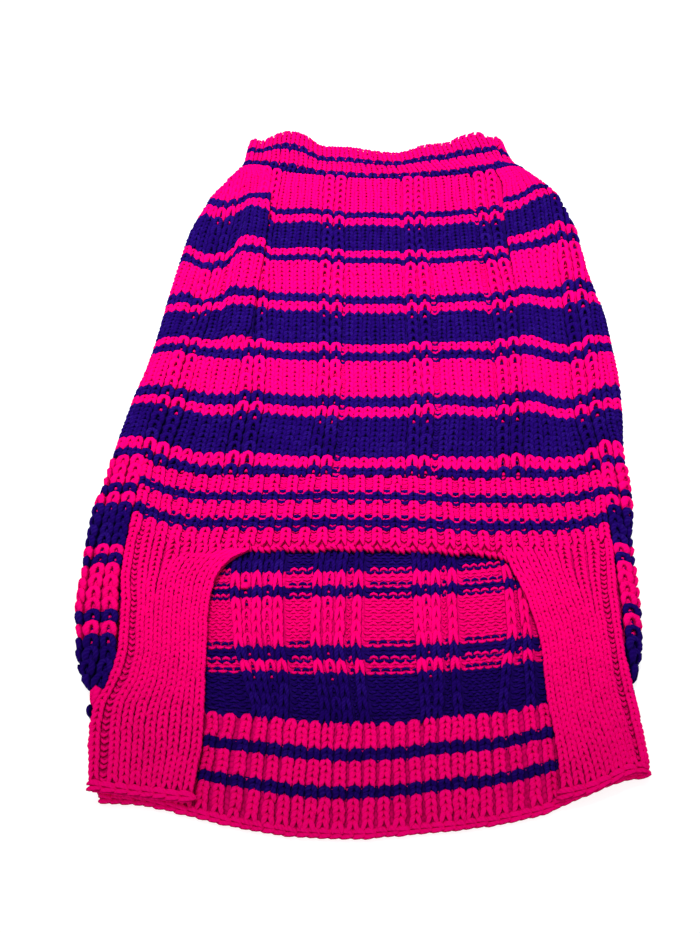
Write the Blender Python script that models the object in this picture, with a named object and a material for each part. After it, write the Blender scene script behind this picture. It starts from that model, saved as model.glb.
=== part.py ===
"""A hand-knitted dog sweater laid flat on its back, belly side up, neck towards +Y.

Every piece is a wall of knitting, lofted from rings across the garment. The back lies on the
floor, and the belly side lies on the back. The sides run from the belly side round a soft fold
down to the back. The ribs and the paired knit columns are raised in each wall's outer points,
and the inside of each wall is plain.

Lengths in the tables are millimetres. x runs across the garment from its middle, and s runs up
it from the lowest point of the hem.
"""

import math
from collections import namedtuple

import bpy

MM = 0.001

# Driving sizes, in millimetres
LENGTH = 578.0  # hem to the peaks of the collar
MIDDLE_X = -4.8  # middle of the whole width, from the belly panel's middle
WALL = 4.0  # one layer of knitting, without its raised columns
LAYER_GAP = 0.4  # between the back and what lies on it
SEAM = 0.3  # between two pieces that are knitted or sewn together
COLUMN_RISE = 0.9  # a knit column over the face of the wall
VALLEY_DROP = 1.0  # a purl valley under the face of the wall
RIB_RISE = 1.3  # a rib's knit column over the face of the wall
RIB_DROP = 0.5  # a rib's purl valley under the face of the wall

FOLD_REACH = 16.0  # how far a side runs in under the garment from its fold
FOLD_ROUND = 6.0  # the fold's outer curve, measured across the garment
FOLD_LOFT = 2.6  # how far the soft fold lifts the belly side off the back
FOLD_LOFT_AT = 14.0  # how far in from the fold it lifts most
FOLD_LOFT_WIDTH = 11.0
FOLD_STEPS = 5
FOLD_HOLLOW = 6.5  # where the fold's inside starts to round over

BELLY_LEFT = -101.0  # the belly panel's edges, which are also the lines of the leg openings
BELLY_RIGHT = 95.0
PAIR_CENTRES = (-39.3, 24.0)  # paired knit columns on the belly panel
EDGE_COLUMNS = ((-96.0, -85.4), (79.4, 90.0))  # the pairs beside the leg openings
EDGE_COLUMN_HALF = 3.4
BACK_GROUPS = (-66.0, -21.0, 34.5, 84.0)  # three knit columns each, on the back's inside
BACK_COLUMN_PITCH = 11.0

RIB_TOP = 213.0  # where the belly rib meets the belly panel, at the middle
RIB_BOTTOM = 160.0  # the bound-off edge over the cut-out
RIB_CURVE_LEFT = 14.0  # how much higher the rib's rows lie at its ends than at its middle
RIB_CURVE_RIGHT = 8.0
RIB_HALF_WIDTH = 145.0
CUT_OUT_HALF = 72.0  # half the width of the rib's free edge over the cut-out
BELLY_RIB_COLUMNS = 30

HEM_TOP = 60.0
HEM_CURVE = 14.0
HEM_HALF_WIDTH = 150.0
HEM_COLUMNS = 22  # those that show inside the cut-out
HEM_WINDOW = (-84.0, 92.0)
HEM_FOOT_LEFT = -133.5  # the hem narrows towards its bound-off edge on the left
BOUND_EDGE = 4.0  # width of the bound-off edge
BOUND_RISE = 0.7

STRAP_COLUMNS = 8  # besides the one along the outer edge
STRAP_EDGE_COLUMN = 0.105  # share of the strap's width
STRAP_LADDER = 0.075  # the wide purl gap inside the outer column
STRAP_LIFT = {"left": 3.0, "right": 1.3}  # the free lower ends stand off the hem
STRAP_LIFT_FROM = 46.0  # s where a strap starts to lift
STRAP_LIFT_RUN = 34.0
STRAP_ZONE = 80.0  # the straps lie further than this from the middle

NECK_COLUMNS = 27
NECK_STATIONS = (0.0, 0.18, 0.42, 0.66, 0.9, 1.0)
NECK_BASE = 517.0  # where the body meets the neck rib, at the middle
NECK_CURVE = 25.0
NECK_HALF_WIDTH = 140.0
ARCH_LIFT = 6.0  # the collar's two arches stand open
ARCH_HALF_WIDTH = 30.0
ARCH_CENTRES = (-83.0, 76.0)
ARCH_FOOT = 519.0
ARCH_CREST = 556.0

# The leg openings, as shares of the way from the belly rib up to the neck rib
SLIT = {"foot": 0.335, "foot_open": 0.37, "top_open": 0.88, "top": 0.915}
FLAP_LIFT = WALL + 1.6  # the left opening's outer edge lies over the belly panel
FLAP_EDGE = (-89.0, -93.0)  # that edge at the opening's foot and at its top
FLAP_SLOPE = 15.0
SLIT_WIDTH = 1.2  # the right opening
SLIT_STEP = 1.4

# Stations up the sides and the back: beside the strap or above it, and the share of that zone
STATIONS = [(True, share) for share in (0.0, 0.17, 0.34, 0.5, 0.59, 0.64, 0.82, 1.0)]
STATIONS += [(False, share) for share in (0.0, 0.1, 0.2, 0.28, SLIT["foot"], SLIT["foot_open"], 0.375, 0.45)]
STATIONS += [(False, share) for share in (0.53, 0.61, 0.69, 0.77, 0.83, 0.875, SLIT["top_open"], SLIT["top"], 0.96, 1.0)]

Outline = namedtuple("Outline", "s left right")
OUTLINE = [
    Outline(60.0, -145.2, 140.8),
    Outline(70.0, -146.4, 139.8),
    Outline(76.0, -151.0, 139.3),
    Outline(84.0, -154.8, 139.6),
    Outline(93.0, -158.8, 142.0),
    Outline(105.0, -161.0, 144.2),
    Outline(128.0, -166.0, 146.9),
    Outline(150.0, -167.0, 148.0),
    Outline(165.0, -167.5, 148.6),
    Outline(192.0, -169.6, 152.6),
    Outline(206.0, -167.4, 153.2),
    Outline(230.0, -166.8, 154.2),
    Outline(279.0, -162.8, 158.8),
    Outline(300.0, -159.6, 159.6),
    Outline(330.0, -156.8, 159.0),
    Outline(363.0, -155.9, 157.5),
    Outline(380.0, -155.3, 154.4),
    Outline(420.0, -153.2, 150.2),
    Outline(444.0, -151.5, 148.8),
    Outline(466.0, -148.0, 145.0),
    Outline(484.0, -143.6, 141.2),
    Outline(495.0, -140.8, 138.8),
    Outline(507.0, -135.2, 131.5),
    Outline(522.0, -126.8, 122.0),
    Outline(532.0, -121.5, 113.0),
    Outline(541.0, -119.0, 104.8),
    Outline(560.0, -118.6, 99.5),
    Outline(578.0, -117.6, 95.0),
]

HemEdge = namedtuple("HemEdge", "x s")
HEM_EDGE = [
    HemEdge(-147.0, 24.0),
    HemEdge(-134.0, 16.5),
    HemEdge(-118.0, 15.2),
    HemEdge(-103.0, 12.8),
    HemEdge(-88.0, 9.8),
    HemEdge(-72.0, 6.5),
    HemEdge(-52.0, 3.0),
    HemEdge(-30.0, 0.5),
    HemEdge(-8.0, 0.0),
    HemEdge(14.0, 1.0),
    HemEdge(44.0, 3.0),
    HemEdge(64.0, 5.6),
    HemEdge(84.0, 10.2),
    HemEdge(104.0, 18.2),
    HemEdge(118.0, 24.0),
    HemEdge(128.0, 27.0),
    HemEdge(142.0, 28.5),
]

CollarEdge = namedtuple("CollarEdge", "x front back")
COLLAR_EDGE = [
    CollarEdge(-121.0, 571.0, 571.0),
    CollarEdge(-115.0, 574.0, 573.0),
    CollarEdge(-107.0, 567.0, 570.0),
    CollarEdge(-95.0, 574.0, 567.0),
    CollarEdge(-84.0, 578.0, 565.0),
    CollarEdge(-72.0, 576.0, 563.0),
    CollarEdge(-55.0, 565.0, 562.0),
    CollarEdge(-36.0, 564.0, 561.0),
    CollarEdge(-8.0, 557.0, 560.0),
    CollarEdge(8.0, 555.5, 560.0),
    CollarEdge(36.0, 564.0, 561.0),
    CollarEdge(52.0, 567.0, 563.0),
    CollarEdge(64.0, 573.0, 565.0),
    CollarEdge(76.0, 578.0, 567.0),
    CollarEdge(87.0, 570.0, 570.0),
    CollarEdge(93.0, 573.0, 573.0),
    CollarEdge(100.0, 566.0, 571.0),
]

StrapEdge = namedtuple("StrapEdge", "s left_outer left_inner right_inner right_outer")
STRAP_EDGE = [
    StrapEdge(12.0, -133.0, -86.0, 94.0, 139.6),
    StrapEdge(24.0, -136.8, -85.6, 94.0, 139.4),
    StrapEdge(40.0, -140.4, -85.0, 94.0, 138.9),
    StrapEdge(56.0, -142.0, -86.0, 93.0, 138.2),
    StrapEdge(66.0, -142.4, -87.0, 92.0, 137.5),
    StrapEdge(80.0, -141.2, -88.5, 91.5, 136.6),
    StrapEdge(98.0, -140.4, -90.0, 91.0, 136.6),
    StrapEdge(122.0, -143.0, -92.0, 86.5, 137.2),
    StrapEdge(136.0, -145.0, -91.5, 82.0, 137.6),
    StrapEdge(147.0, -146.0, -88.0, 77.5, 137.8),
    StrapEdge(154.0, -146.5, -82.0, 75.0, 138.0),
    StrapEdge(160.0, -147.0, -73.0, 72.0, 138.0),
    StrapEdge(180.0, -148.0, -73.0, 72.0, 138.5),
]
STRAP_FOOT = {"left": (18.5, 13.9), "right": (27.0, 15.0)}  # at the outer and the inner edge

Crease = namedtuple("Crease", "x0 s0 x1 s1 half_width height")
CREASES = [
    Crease(-118.0, 462.0, -137.0, 348.0, 7.0, -3.6),
    Crease(-104.0, 470.0, -120.0, 352.0, 10.0, 2.2),
    Crease(-141.0, 445.0, -148.0, 300.0, 8.0, 1.4),
    Crease(139.0, 420.0, 148.0, 290.0, 9.0, 2.0),
    Crease(124.0, 410.0, 131.0, 300.0, 8.0, -1.6),
    Crease(112.0, 500.0, 120.0, 430.0, 10.0, 1.6),
    Crease(-62.0, 508.0, -48.0, 330.0, 13.0, 1.5),
    Crease(-14.0, 498.0, -6.0, 400.0, 12.0, 0.9),
    Crease(66.0, 500.0, 60.0, 300.0, 13.0, 1.4),
    Crease(-90.0, 290.0, -70.0, 226.0, 14.0, 1.1),
    Crease(52.0, 262.0, 84.0, 222.0, 12.0, 1.2),
    Crease(-36.0, 208.0, -20.0, 164.0, 10.0, 1.0),
    Crease(26.0, 206.0, 40.0, 166.0, 9.0, 0.9),
    Crease(-118.0, 150.0, -116.0, 60.0, 14.0, 1.0),
    Crease(118.0, 150.0, 122.0, 50.0, 12.0, 1.2),
]

PINK = (0.93, 0.004, 0.21, 1.0)
PURPLE = (0.028, 0.006, 0.17, 1.0)
DARK_PINK = (0.70, 0.004, 0.16, 1.0)
YARN_ROUGHNESS = 0.85
SHARP_ANGLE = math.radians(50.0)


def ease(value):
    """A smooth step from 0 to 1."""
    value = min(1.0, max(0.0, value))
    return value * value * (3.0 - 2.0 * value)


def mix(a, b, share):
    return a + (b - a) * share


def smooth(rows, at, column):
    """A table's column at a place along its first column, through a smooth curve."""
    xs = [row[0] for row in rows]
    ys = [getattr(row, column) for row in rows]
    if at <= xs[0]:
        return ys[0]
    if at >= xs[-1]:
        return ys[-1]
    i = max(k for k in range(len(xs) - 1) if xs[k] <= at)
    chords = [(ys[k + 1] - ys[k]) / (xs[k + 1] - xs[k]) for k in range(len(xs) - 1)]

    def slope(k):
        if k == 0 or k == len(xs) - 1:
            return chords[min(k, len(chords) - 1)]
        before, after = chords[k - 1], chords[k]
        return 0.0 if before * after <= 0.0 else 2.0 * before * after / (before + after)

    width = xs[i + 1] - xs[i]
    t = (at - xs[i]) / width
    start = ys[i] * (1 + 2 * t) + slope(i) * width * t
    end = ys[i + 1] * (3 - 2 * t) - slope(i + 1) * width * (1 - t)
    return start * (1 - t) ** 2 + end * t * t


def rib_line(x, s_middle):
    """The row of the belly rib that passes the middle at s_middle."""
    curve = RIB_CURVE_LEFT if x < 0.0 else RIB_CURVE_RIGHT
    return s_middle + curve * (x / RIB_HALF_WIDTH) ** 2


def hem_line(x):
    return HEM_TOP + HEM_CURVE * (x / HEM_HALF_WIDTH) ** 2


def neck_line(x):
    return NECK_BASE + NECK_CURVE * (x / NECK_HALF_WIDTH) ** 2


def station_line(x, beside_strap, share):
    """s of a station at a place across the garment."""
    if beside_strap:
        return mix(hem_line(x) + SEAM, rib_line(x, RIB_TOP) + SEAM, share)
    return mix(rib_line(x, RIB_TOP) + 2.0 * SEAM, neck_line(x) - SEAM, share)


def crease_height(x, s):
    total = 0.0
    for crease in CREASES:
        run_x, run_s = crease.x1 - crease.x0, crease.s1 - crease.s0
        length = math.hypot(run_x, run_s)
        share = ((x - crease.x0) * run_x + (s - crease.s0) * run_s) / length**2
        held = min(1.0, max(0.0, share))
        away = math.hypot(x - crease.x0 - held * run_x, s - crease.s0 - held * run_s)
        total += crease.height * math.exp(-((away / crease.half_width) ** 2))
    return total


def arch_lift(x, s):
    height = ease((s - ARCH_FOOT) / (ARCH_CREST - ARCH_FOOT))
    lift = 0.0
    for centre in ARCH_CENTRES:
        off = min(1.0, abs(x - centre) / ARCH_HALF_WIDTH)
        lift += ARCH_LIFT * height * (1.0 - off * off) ** 2
    return lift


def strap_lift(x, s):
    side = "left" if x < 0.0 else "right"
    return STRAP_LIFT[side] * ease((STRAP_LIFT_FROM - s) / STRAP_LIFT_RUN) if abs(x) > STRAP_ZONE else 0.0


def soft_height(x, s):
    """How far the belly side stands off the back: soft folds, creases, arches and strap ends."""
    left, right = smooth(OUTLINE, s, "left"), smooth(OUTLINE, s, "right")
    inside = min(x - left, right - x)
    fold = FOLD_LOFT * math.exp(-(((inside - FOLD_LOFT_AT) / FOLD_LOFT_WIDTH) ** 2))
    return fold + crease_height(x, s) + arch_lift(x, s) + strap_lift(x, s)


def under_side(x, s):
    """Height of the inner face of the belly side."""
    return WALL + LAYER_GAP + max(0.0, soft_height(x, s))


def face(x, s):
    """Height of the outer face of the belly side, before its raised columns."""
    return under_side(x, s) + WALL + 0.5 * min(0.0, soft_height(x, s))


def rib_profile(count, start=0.0, end=1.0):
    """(share across, raise) for a run of ribs, four points to a rib."""
    points = []
    for k in range(count):
        for share, height in ((0.0, -RIB_DROP), (0.13, RIB_RISE), (0.63, RIB_RISE), (0.76, -RIB_DROP)):
            points.append((mix(start, end, (k + share) / count), height))
    points.append((end, -RIB_DROP))
    return points


def pair_profile(centre):
    """(x, raise) for two knit columns with a purl valley beside each."""
    half = [(10.0, 0.0), (8.6, -VALLEY_DROP), (7.2, COLUMN_RISE), (2.6, COLUMN_RISE), (1.3, -VALLEY_DROP)]
    left = [(centre - x, height) for x, height in half]
    right = [(centre + x, height) for x, height in reversed(half)]
    return left + right


def column_profile(centre):
    """(x, raise) for one knit column between two purl valleys."""
    side = EDGE_COLUMN_HALF
    return [
        (centre - side - 1.2, -VALLEY_DROP),
        (centre - side, COLUMN_RISE),
        (centre + side, COLUMN_RISE),
        (centre + side + 1.2, -VALLEY_DROP),
    ]


def group_profile(centre):
    """(x, raise) for three knit columns on the back's inside."""
    points = [(centre - 1.5 * BACK_COLUMN_PITCH, 0.0)]
    for k in (-1, 0, 1):
        middle = centre + k * BACK_COLUMN_PITCH
        points += [(middle - 3.6, 0.0), (middle - 2.6, RIB_RISE), (middle + 2.6, RIB_RISE), (middle + 3.6, 0.0)]
    return points


def point(x, s, z):
    """A point of the garment, in metres in the part's own frame."""
    return ((x - MIDDLE_X) * MM, (s - LENGTH / 2) * MM, z * MM)


def end_faces(outer, inner, points):
    """Triangles that fill a wall's end, between its outer and its inner line of points."""
    faces = []
    a = b = 0
    while a < len(outer) - 1 or b < len(inner) - 1:
        ahead_a = math.dist(points[outer[min(a + 1, len(outer) - 1)]], points[inner[b]])
        ahead_b = math.dist(points[outer[a]], points[inner[min(b + 1, len(inner) - 1)]])
        if b == len(inner) - 1 or (a < len(outer) - 1 and ahead_a <= ahead_b):
            faces.append((outer[a], outer[a + 1], inner[b]))
            a += 1
        else:
            faces.append((outer[a], inner[b + 1], inner[b]))
            b += 1
    return faces


def loft(name, sections, colour):
    """One closed wall through sections, each the wall's outer points and its inner points.

    Both run from left to right, and the sections run up the garment.
    """
    outer_count, inner_count = len(sections[0][0]), len(sections[0][1])
    count = outer_count + inner_count
    points = [p for outer, inner in sections for p in outer + inner[::-1]]
    faces = []
    for r in range(len(sections) - 1):
        for k in range(count):
            a, b = r * count + k, r * count + (k + 1) % count
            faces.append((a, b, b + count, a + count))
    first = list(range(count))
    last = [(len(sections) - 1) * count + k for k in range(count)]
    for ring, turned in ((first, True), (last, False)):
        ends = end_faces(ring[:outer_count], ring[outer_count:][::-1], points)
        faces += [tuple(reversed(face)) if turned else face for face in ends]
    mesh = bpy.data.meshes.new(name)
    mesh.from_pydata(points, [], faces)
    mesh.validate()
    mesh.shade_smooth()
    mesh.set_sharp_from_angle(angle=SHARP_ANGLE)
    obj = bpy.data.objects.new(name, mesh)
    bpy.context.scene.collection.objects.link(obj)
    material = bpy.data.materials.new(name + "_yarn")
    material.use_nodes = True
    shader = material.node_tree.nodes["Principled BSDF"]
    shader.inputs["Base Color"].default_value = colour
    shader.inputs["Roughness"].default_value = YARN_ROUGHNESS
    shader.inputs["Metallic"].default_value = 0.0
    mesh.materials.append(material)
    return obj


def fold_sizes(width):
    """How far in from the edge the fold's curve, its inside and its deepest point start."""
    return min(FOLD_ROUND, 0.6 * width), min(FOLD_HOLLOW, 0.9 * width), min(WALL, 0.55 * width)


def fold_end(edge, inward, s_at, width=LENGTH):
    """The outer and the inner points of a side fold, from the belly side round to the back.

    inward is 1 for the left fold and -1 for the right one, and width is the wall's, on the
    belly side.
    """
    curve, hollow, deep = fold_sizes(width)
    level_x = edge + inward * FOLD_REACH
    s = s_at(level_x)
    top = face(edge + inward * curve, s_at(edge + inward * curve))
    outer = []
    for k in range(FOLD_STEPS + 1):
        angle = math.pi * (0.5 - k / FOLD_STEPS)
        x = edge + inward * (curve if angle > 0.0 else FOLD_ROUND) * (1.0 - math.cos(angle))
        z = 0.5 * top * (1.0 + math.sin(angle))
        outer.append(point(x, s_at(x), z if k < FOLD_STEPS else 0.0))
    outer.append(point(level_x, s, 0.0))
    hollow, deep = edge + inward * hollow, edge + inward * deep
    inner = under_side(hollow, s_at(hollow))
    inside = [point(hollow, s_at(hollow), inner), point(deep, s_at(deep), 0.5 * (WALL + inner))]
    inside += [point(hollow, s_at(hollow), WALL), point(level_x, s, WALL)]
    return outer, inside


def belly_panel():
    across = [(BELLY_LEFT, 0.0)]
    for centre in EDGE_COLUMNS[0]:
        across += column_profile(centre)
    across += [(-79.0, 0.0), (-59.0, 0.0)]
    for centre, beyond in zip(PAIR_CENTRES, (-7.5, 54.0)):
        across += pair_profile(centre) + [(beyond, 0.0)]
    across += [(73.4, 0.0)]
    for centre in EDGE_COLUMNS[1]:
        across += column_profile(centre)
    across.append((BELLY_RIGHT, -0.4))
    under = [mix(BELLY_LEFT, BELLY_RIGHT, k / 10) for k in range(11)]
    sections = []
    stations = 15
    for k in range(stations):
        def s_at(x, share=k / (stations - 1)):
            return mix(rib_line(x, RIB_TOP) + SEAM, neck_line(x) - SEAM, share)

        top = [point(x, s_at(x), face(x, s_at(x)) + height) for x, height in across]
        sections.append((top, [point(x, s_at(x), under_side(x, s_at(x))) for x in under]))
    return loft("belly_panel", sections, PURPLE)


def flap_rise(x, share):
    """The left leg opening's outer edge, lifted over the belly panel."""
    up = ease((share - SLIT["foot"]) / (SLIT["foot_open"] - SLIT["foot"]))
    down = ease((SLIT["top"] - share) / (SLIT["top"] - SLIT["top_open"]))
    return FLAP_LIFT * up * down * ease((x - BELLY_LEFT + FLAP_SLOPE) / (FLAP_SLOPE - 2.0))


def slit_open(share):
    """Whether this share of the way up lies inside the leg opening."""
    return SLIT["foot_open"] < share < SLIT["top_open"]


def side(name, left):
    """A side: the strip beside the strap, the part beside the belly panel, and their fold."""
    sign = 1.0 if left else -1.0
    column = "left" if left else "right"
    strip = [(0.0, -0.6), (0.06, 1.0), (0.16, 1.0), (0.26, 1.0), (0.36, 1.0), (0.42, -0.7)]
    strip += [(0.48, -0.7), (0.56, 1.0), (0.68, 1.0), (0.82, 1.0), (0.92, -0.6)]
    wide = [(0.0, 0.8), (0.09, 0.8), (0.12, -1.0), (0.16, 0.0), (0.40, 0.0), (0.64, 0.0)]
    wide += [(0.67, -1.0), (0.70, 1.0), (0.82, 1.0), (0.85, -0.8), (0.90, 1.0)]
    under_shares = (0.0, 0.10, 0.20, 0.34, 0.55, 0.8)
    sections = []
    for beside_strap, share in STATIONS:
        def s_at(x, beside_strap=beside_strap, share=share):
            return station_line(x, beside_strap, share)

        lift = 0.0
        if beside_strap:
            edge_s = s_at(sign * -146.0)
            seam_x = smooth(STRAP_EDGE, edge_s, column + "_outer") - sign * 0.9
        elif left:
            open_x = mix(FLAP_EDGE[0], FLAP_EDGE[1], share)
            seam_x = open_x if slit_open(share) else BELLY_LEFT - SEAM
        else:
            seam_x = BELLY_RIGHT + SEAM + (SLIT_WIDTH if slit_open(share) else 0.0)
            lift = SLIT_STEP if slit_open(share) else 0.0
        edge = smooth(OUTLINE, s_at(sign * -150.0), column)
        curve, hollow, _ = fold_sizes(abs(edge - seam_x))
        start, hollow = edge + sign * curve, edge + sign * hollow
        profile = strip if beside_strap else wide
        top, bottom = [], []
        for along, height in profile:
            x = mix(seam_x, start, along)
            rise = lift * (1.0 - along) if beside_strap or not left else flap_rise(x, share)
            top.append(point(x, s_at(x), face(x, s_at(x)) + height + rise))
        for along in under_shares:
            x = mix(seam_x, hollow, along)
            rise = lift * (1.0 - along) if beside_strap or not left else flap_rise(x, share)
            bottom.append(point(x, s_at(x), under_side(x, s_at(x)) + rise))
        fold_outer, fold_inner = fold_end(edge, sign, s_at, abs(edge - seam_x))
        outer, inner = top + fold_outer, bottom + fold_inner
        sections.append((outer[::-1], inner[::-1]) if left else (outer, inner))
    return loft(name, sections, PURPLE)


def seen_inside(x, s):
    """1 where the back shows through the cut-out, and 0 under the straps and the belly rib."""
    s_held = min(s, RIB_BOTTOM - 1.0)
    left = smooth(STRAP_EDGE, s_held, "left_inner")
    right = smooth(STRAP_EDGE, s_held, "right_inner")
    return ease((min(x - left, right - x) - 4.0) / 3.0) * ease((RIB_BOTTOM - 2.0 - s) / 6.0)


def back_panel():
    across = [(-112.0, 0.0), (-98.0, 0.0)]
    across += [spot for centre in BACK_GROUPS[:3] for spot in group_profile(centre)]
    across += [(62.0, 0.0), (71.0, 0.0), (73.0, RIB_RISE), (78.0, RIB_RISE), (80.0, 0.0)]
    across += [(84.0, 0.0), (86.0, RIB_RISE), (90.0, RIB_RISE), (92.0, 0.0), (108.0, 0.0)]
    sections = []
    for beside_strap, share in STATIONS:
        def s_at(x, beside_strap=beside_strap, share=share):
            return station_line(x, beside_strap, share)

        left = smooth(OUTLINE, s_at(-150.0), "left") + FOLD_REACH + SEAM
        right = smooth(OUTLINE, s_at(150.0), "right") - FOLD_REACH - SEAM
        top = [point(left, s_at(left), WALL)]
        for x, height in across:
            x = min(max(x, left + 1.0), right - 1.0)
            top.append(point(x, s_at(x), WALL + height * seen_inside(x, s_at(x))))
        top.append(point(right, s_at(right), WALL))
        under = [mix(left, right, k / 10) for k in range(11)]
        sections.append((top, [point(x, s_at(x), 0.0) for x in under]))
    return loft("back_panel", sections, PURPLE)


def belly_rib():
    sections = []
    for share in (0.0, 0.05, 0.12, 0.36, 0.6, 0.84, 1.0):
        def s_at(x, share=share):
            return rib_line(x, mix(RIB_BOTTOM, RIB_TOP, share))

        left = smooth(STRAP_EDGE, s_at(-147.0), "left_outer")
        right = smooth(STRAP_EDGE, s_at(138.0), "right_outer")
        bound = BOUND_RISE if share < 0.1 else 0.0
        top = []
        for along, height in rib_profile(BELLY_RIB_COLUMNS):
            x = mix(left, right, along)
            height = mix(height, bound, 0.7) if share < 0.1 and abs(x) < CUT_OUT_HALF else height
            top.append(point(x, s_at(x), face(x, s_at(x)) + height))
        under = [mix(left, right, k / 14) for k in range(15)]
        sections.append((top, [point(x, s_at(x), under_side(x, s_at(x))) for x in under]))
    return loft("belly_rib", sections, PINK)


def strap_profile():
    """(share from the outer edge, raise): the edge column, the ladder, and the other columns."""
    points = [(0.0, -RIB_DROP), (0.02, RIB_RISE), (STRAP_EDGE_COLUMN - 0.02, RIB_RISE), (STRAP_EDGE_COLUMN, -RIB_DROP)]
    return points + rib_profile(STRAP_COLUMNS, STRAP_EDGE_COLUMN + STRAP_LADDER, 1.0)


def strap(name, side_name):
    left = side_name == "left"
    outer_foot, inner_foot = STRAP_FOOT[side_name]
    sections = []
    for share in (0.0, 0.035, 0.1, 0.2, 0.32, 0.46, 0.6, 0.72, 0.82, 0.9, 0.955, 1.0):
        def place(along, share=share):
            top_x = mix(*[smooth(STRAP_EDGE, RIB_BOTTOM, f"{side_name}_{e}") for e in ("outer", "inner")], along)
            s_top = rib_line(top_x, RIB_BOTTOM) - SEAM
            s = mix(mix(outer_foot, inner_foot, along), s_top, share)
            edge_s = mix(mix(outer_foot, inner_foot, along), RIB_BOTTOM, share)
            outer = smooth(STRAP_EDGE, edge_s, side_name + "_outer")
            inner = smooth(STRAP_EDGE, edge_s, side_name + "_inner")
            return mix(outer, inner, along), s

        top = []
        for along, height in strap_profile():
            x, s = place(along)
            height = mix(height, BOUND_RISE, 0.6) if share < 0.03 else height
            top.append(point(x, s, face(x, s) + height))
        bottom = [point(*place(k / 6), under_side(*place(k / 6))) for k in range(7)]
        if not left:
            top, bottom = top[::-1], bottom[::-1]
        sections.append((top, bottom))
    return loft(name, sections, PINK)


def hem_rib():
    right = HEM_EDGE[-1].x - 1.0
    window = [(mix(*HEM_WINDOW, share), height) for share, height in rib_profile(HEM_COLUMNS)]
    sections = []
    for share in (0.0, 0.04, 0.09, 0.22, 0.42, 0.7, 1.0):
        left = mix(HEM_EDGE[0].x + 1.0, HEM_FOOT_LEFT, (1.0 - share) ** 2)
        across = [(left, -1.2), (left + 3.0, 0.0), (-120.0, 0.0), (-100.0, 0.0)]
        across += window + [(108.0, 0.0), (125.0, 0.0), (right - 3.0, 0.0), (right, -1.2)]

        def s_at(x, share=share):
            foot = smooth(HEM_EDGE, x, "s")
            end = hem_line(x)
            bound = share * (end - foot)
            return foot + bound

        top = []
        for x, height in across:
            height = BOUND_RISE if share < 0.08 else height
            top.append(point(x, s_at(x), WALL + height))
        under = [mix(left, right, k / 12) for k in range(13)]
        sections.append((top, [point(x, s_at(x), 0.0) for x in under]))
    return loft("hem_rib", sections, PINK)


def neck_rib_front():
    sections = []
    for share in NECK_STATIONS:
        def s_at(x, share=share):
            return mix(neck_line(x), smooth(COLLAR_EDGE, x, "front"), share)

        left, right = smooth(OUTLINE, s_at(-122.0), "left"), smooth(OUTLINE, s_at(102.0), "right")
        top = []
        for along, height in rib_profile(NECK_COLUMNS):
            x = mix(left + FOLD_ROUND + 1.0, right - FOLD_ROUND - 1.0, along)
            height = mix(height, BOUND_RISE, 0.5) if share > 0.95 else height
            top.append(point(x, s_at(x), face(x, s_at(x)) + height))
        spans = [mix(left + FOLD_HOLLOW, right - FOLD_HOLLOW, k / 16) for k in range(1, 16)]
        bottom = [point(x, s_at(x), under_side(x, s_at(x))) for x in spans]
        left_outer, left_inner = fold_end(left, 1.0, s_at)
        right_outer, right_inner = fold_end(right, -1.0, s_at)
        sections.append((left_outer[::-1] + top + right_outer, left_inner[::-1] + bottom + right_inner))
    return loft("neck_rib_front", sections, PINK)


def neck_rib_back():
    sections = []
    for share in NECK_STATIONS:
        def s_at(x, share=share):
            return mix(neck_line(x), smooth(COLLAR_EDGE, x, "back"), share)

        def front_s(x, share=share):
            return mix(neck_line(x), smooth(COLLAR_EDGE, x, "front"), share)

        left = smooth(OUTLINE, front_s(-122.0), "left") + FOLD_REACH + 4.0 * SEAM
        right = smooth(OUTLINE, front_s(102.0), "right") - FOLD_REACH - 4.0 * SEAM
        spans = [mix(left, right, k / 12) for k in range(13)]
        top = [point(x, s_at(x), WALL) for x in spans]
        sections.append((top, [point(x, s_at(x), 0.0) for x in spans]))
    return loft("neck_rib_back", sections, DARK_PINK)


def main():
    for obj in list(bpy.data.objects):
        bpy.data.objects.remove(obj, do_unlink=True)
    back_panel()
    hem_rib()
    neck_rib_back()
    belly_panel()
    side("side_left", True)
    side("side_right", False)
    belly_rib()
    strap("strap_left", "left")
    strap("strap_right", "right")
    neck_rib_front()


main()
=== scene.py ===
"""The looks of a hand-knitted dog sweater that lies flat on its back, belly side up.

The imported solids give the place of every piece. Each of them is replaced by a thin shell of
knitting, and the stitches that show are laid on the shells as real strands of yarn, joined into
one mesh for each piece.

Lengths are in millimetres until a point is written to a mesh. x runs across the garment from
the middle of the belly panel, and s runs up it from the lowest point of the hem. "Level" is the
s that a row of knitting has at the garment's middle, before it bows at the sides.
"""

import logging
import math
from collections.abc import Callable, Sequence
from dataclasses import dataclass, field
from enum import Enum

import bpy
import numpy as np
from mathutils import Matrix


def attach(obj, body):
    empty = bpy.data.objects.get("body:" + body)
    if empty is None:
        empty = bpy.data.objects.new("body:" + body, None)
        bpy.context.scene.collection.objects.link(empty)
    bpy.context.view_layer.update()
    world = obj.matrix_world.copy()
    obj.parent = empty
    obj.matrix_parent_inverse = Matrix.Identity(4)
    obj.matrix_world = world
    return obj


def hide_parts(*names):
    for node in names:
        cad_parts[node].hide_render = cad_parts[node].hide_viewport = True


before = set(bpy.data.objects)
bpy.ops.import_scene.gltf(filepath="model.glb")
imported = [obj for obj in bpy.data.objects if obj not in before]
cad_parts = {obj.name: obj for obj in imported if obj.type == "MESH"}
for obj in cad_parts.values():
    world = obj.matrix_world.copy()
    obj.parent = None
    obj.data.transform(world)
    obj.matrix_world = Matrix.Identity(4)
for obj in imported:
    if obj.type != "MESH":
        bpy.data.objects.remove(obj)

LOG = logging.getLogger("dog_sweater")
MM = 0.001
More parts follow.
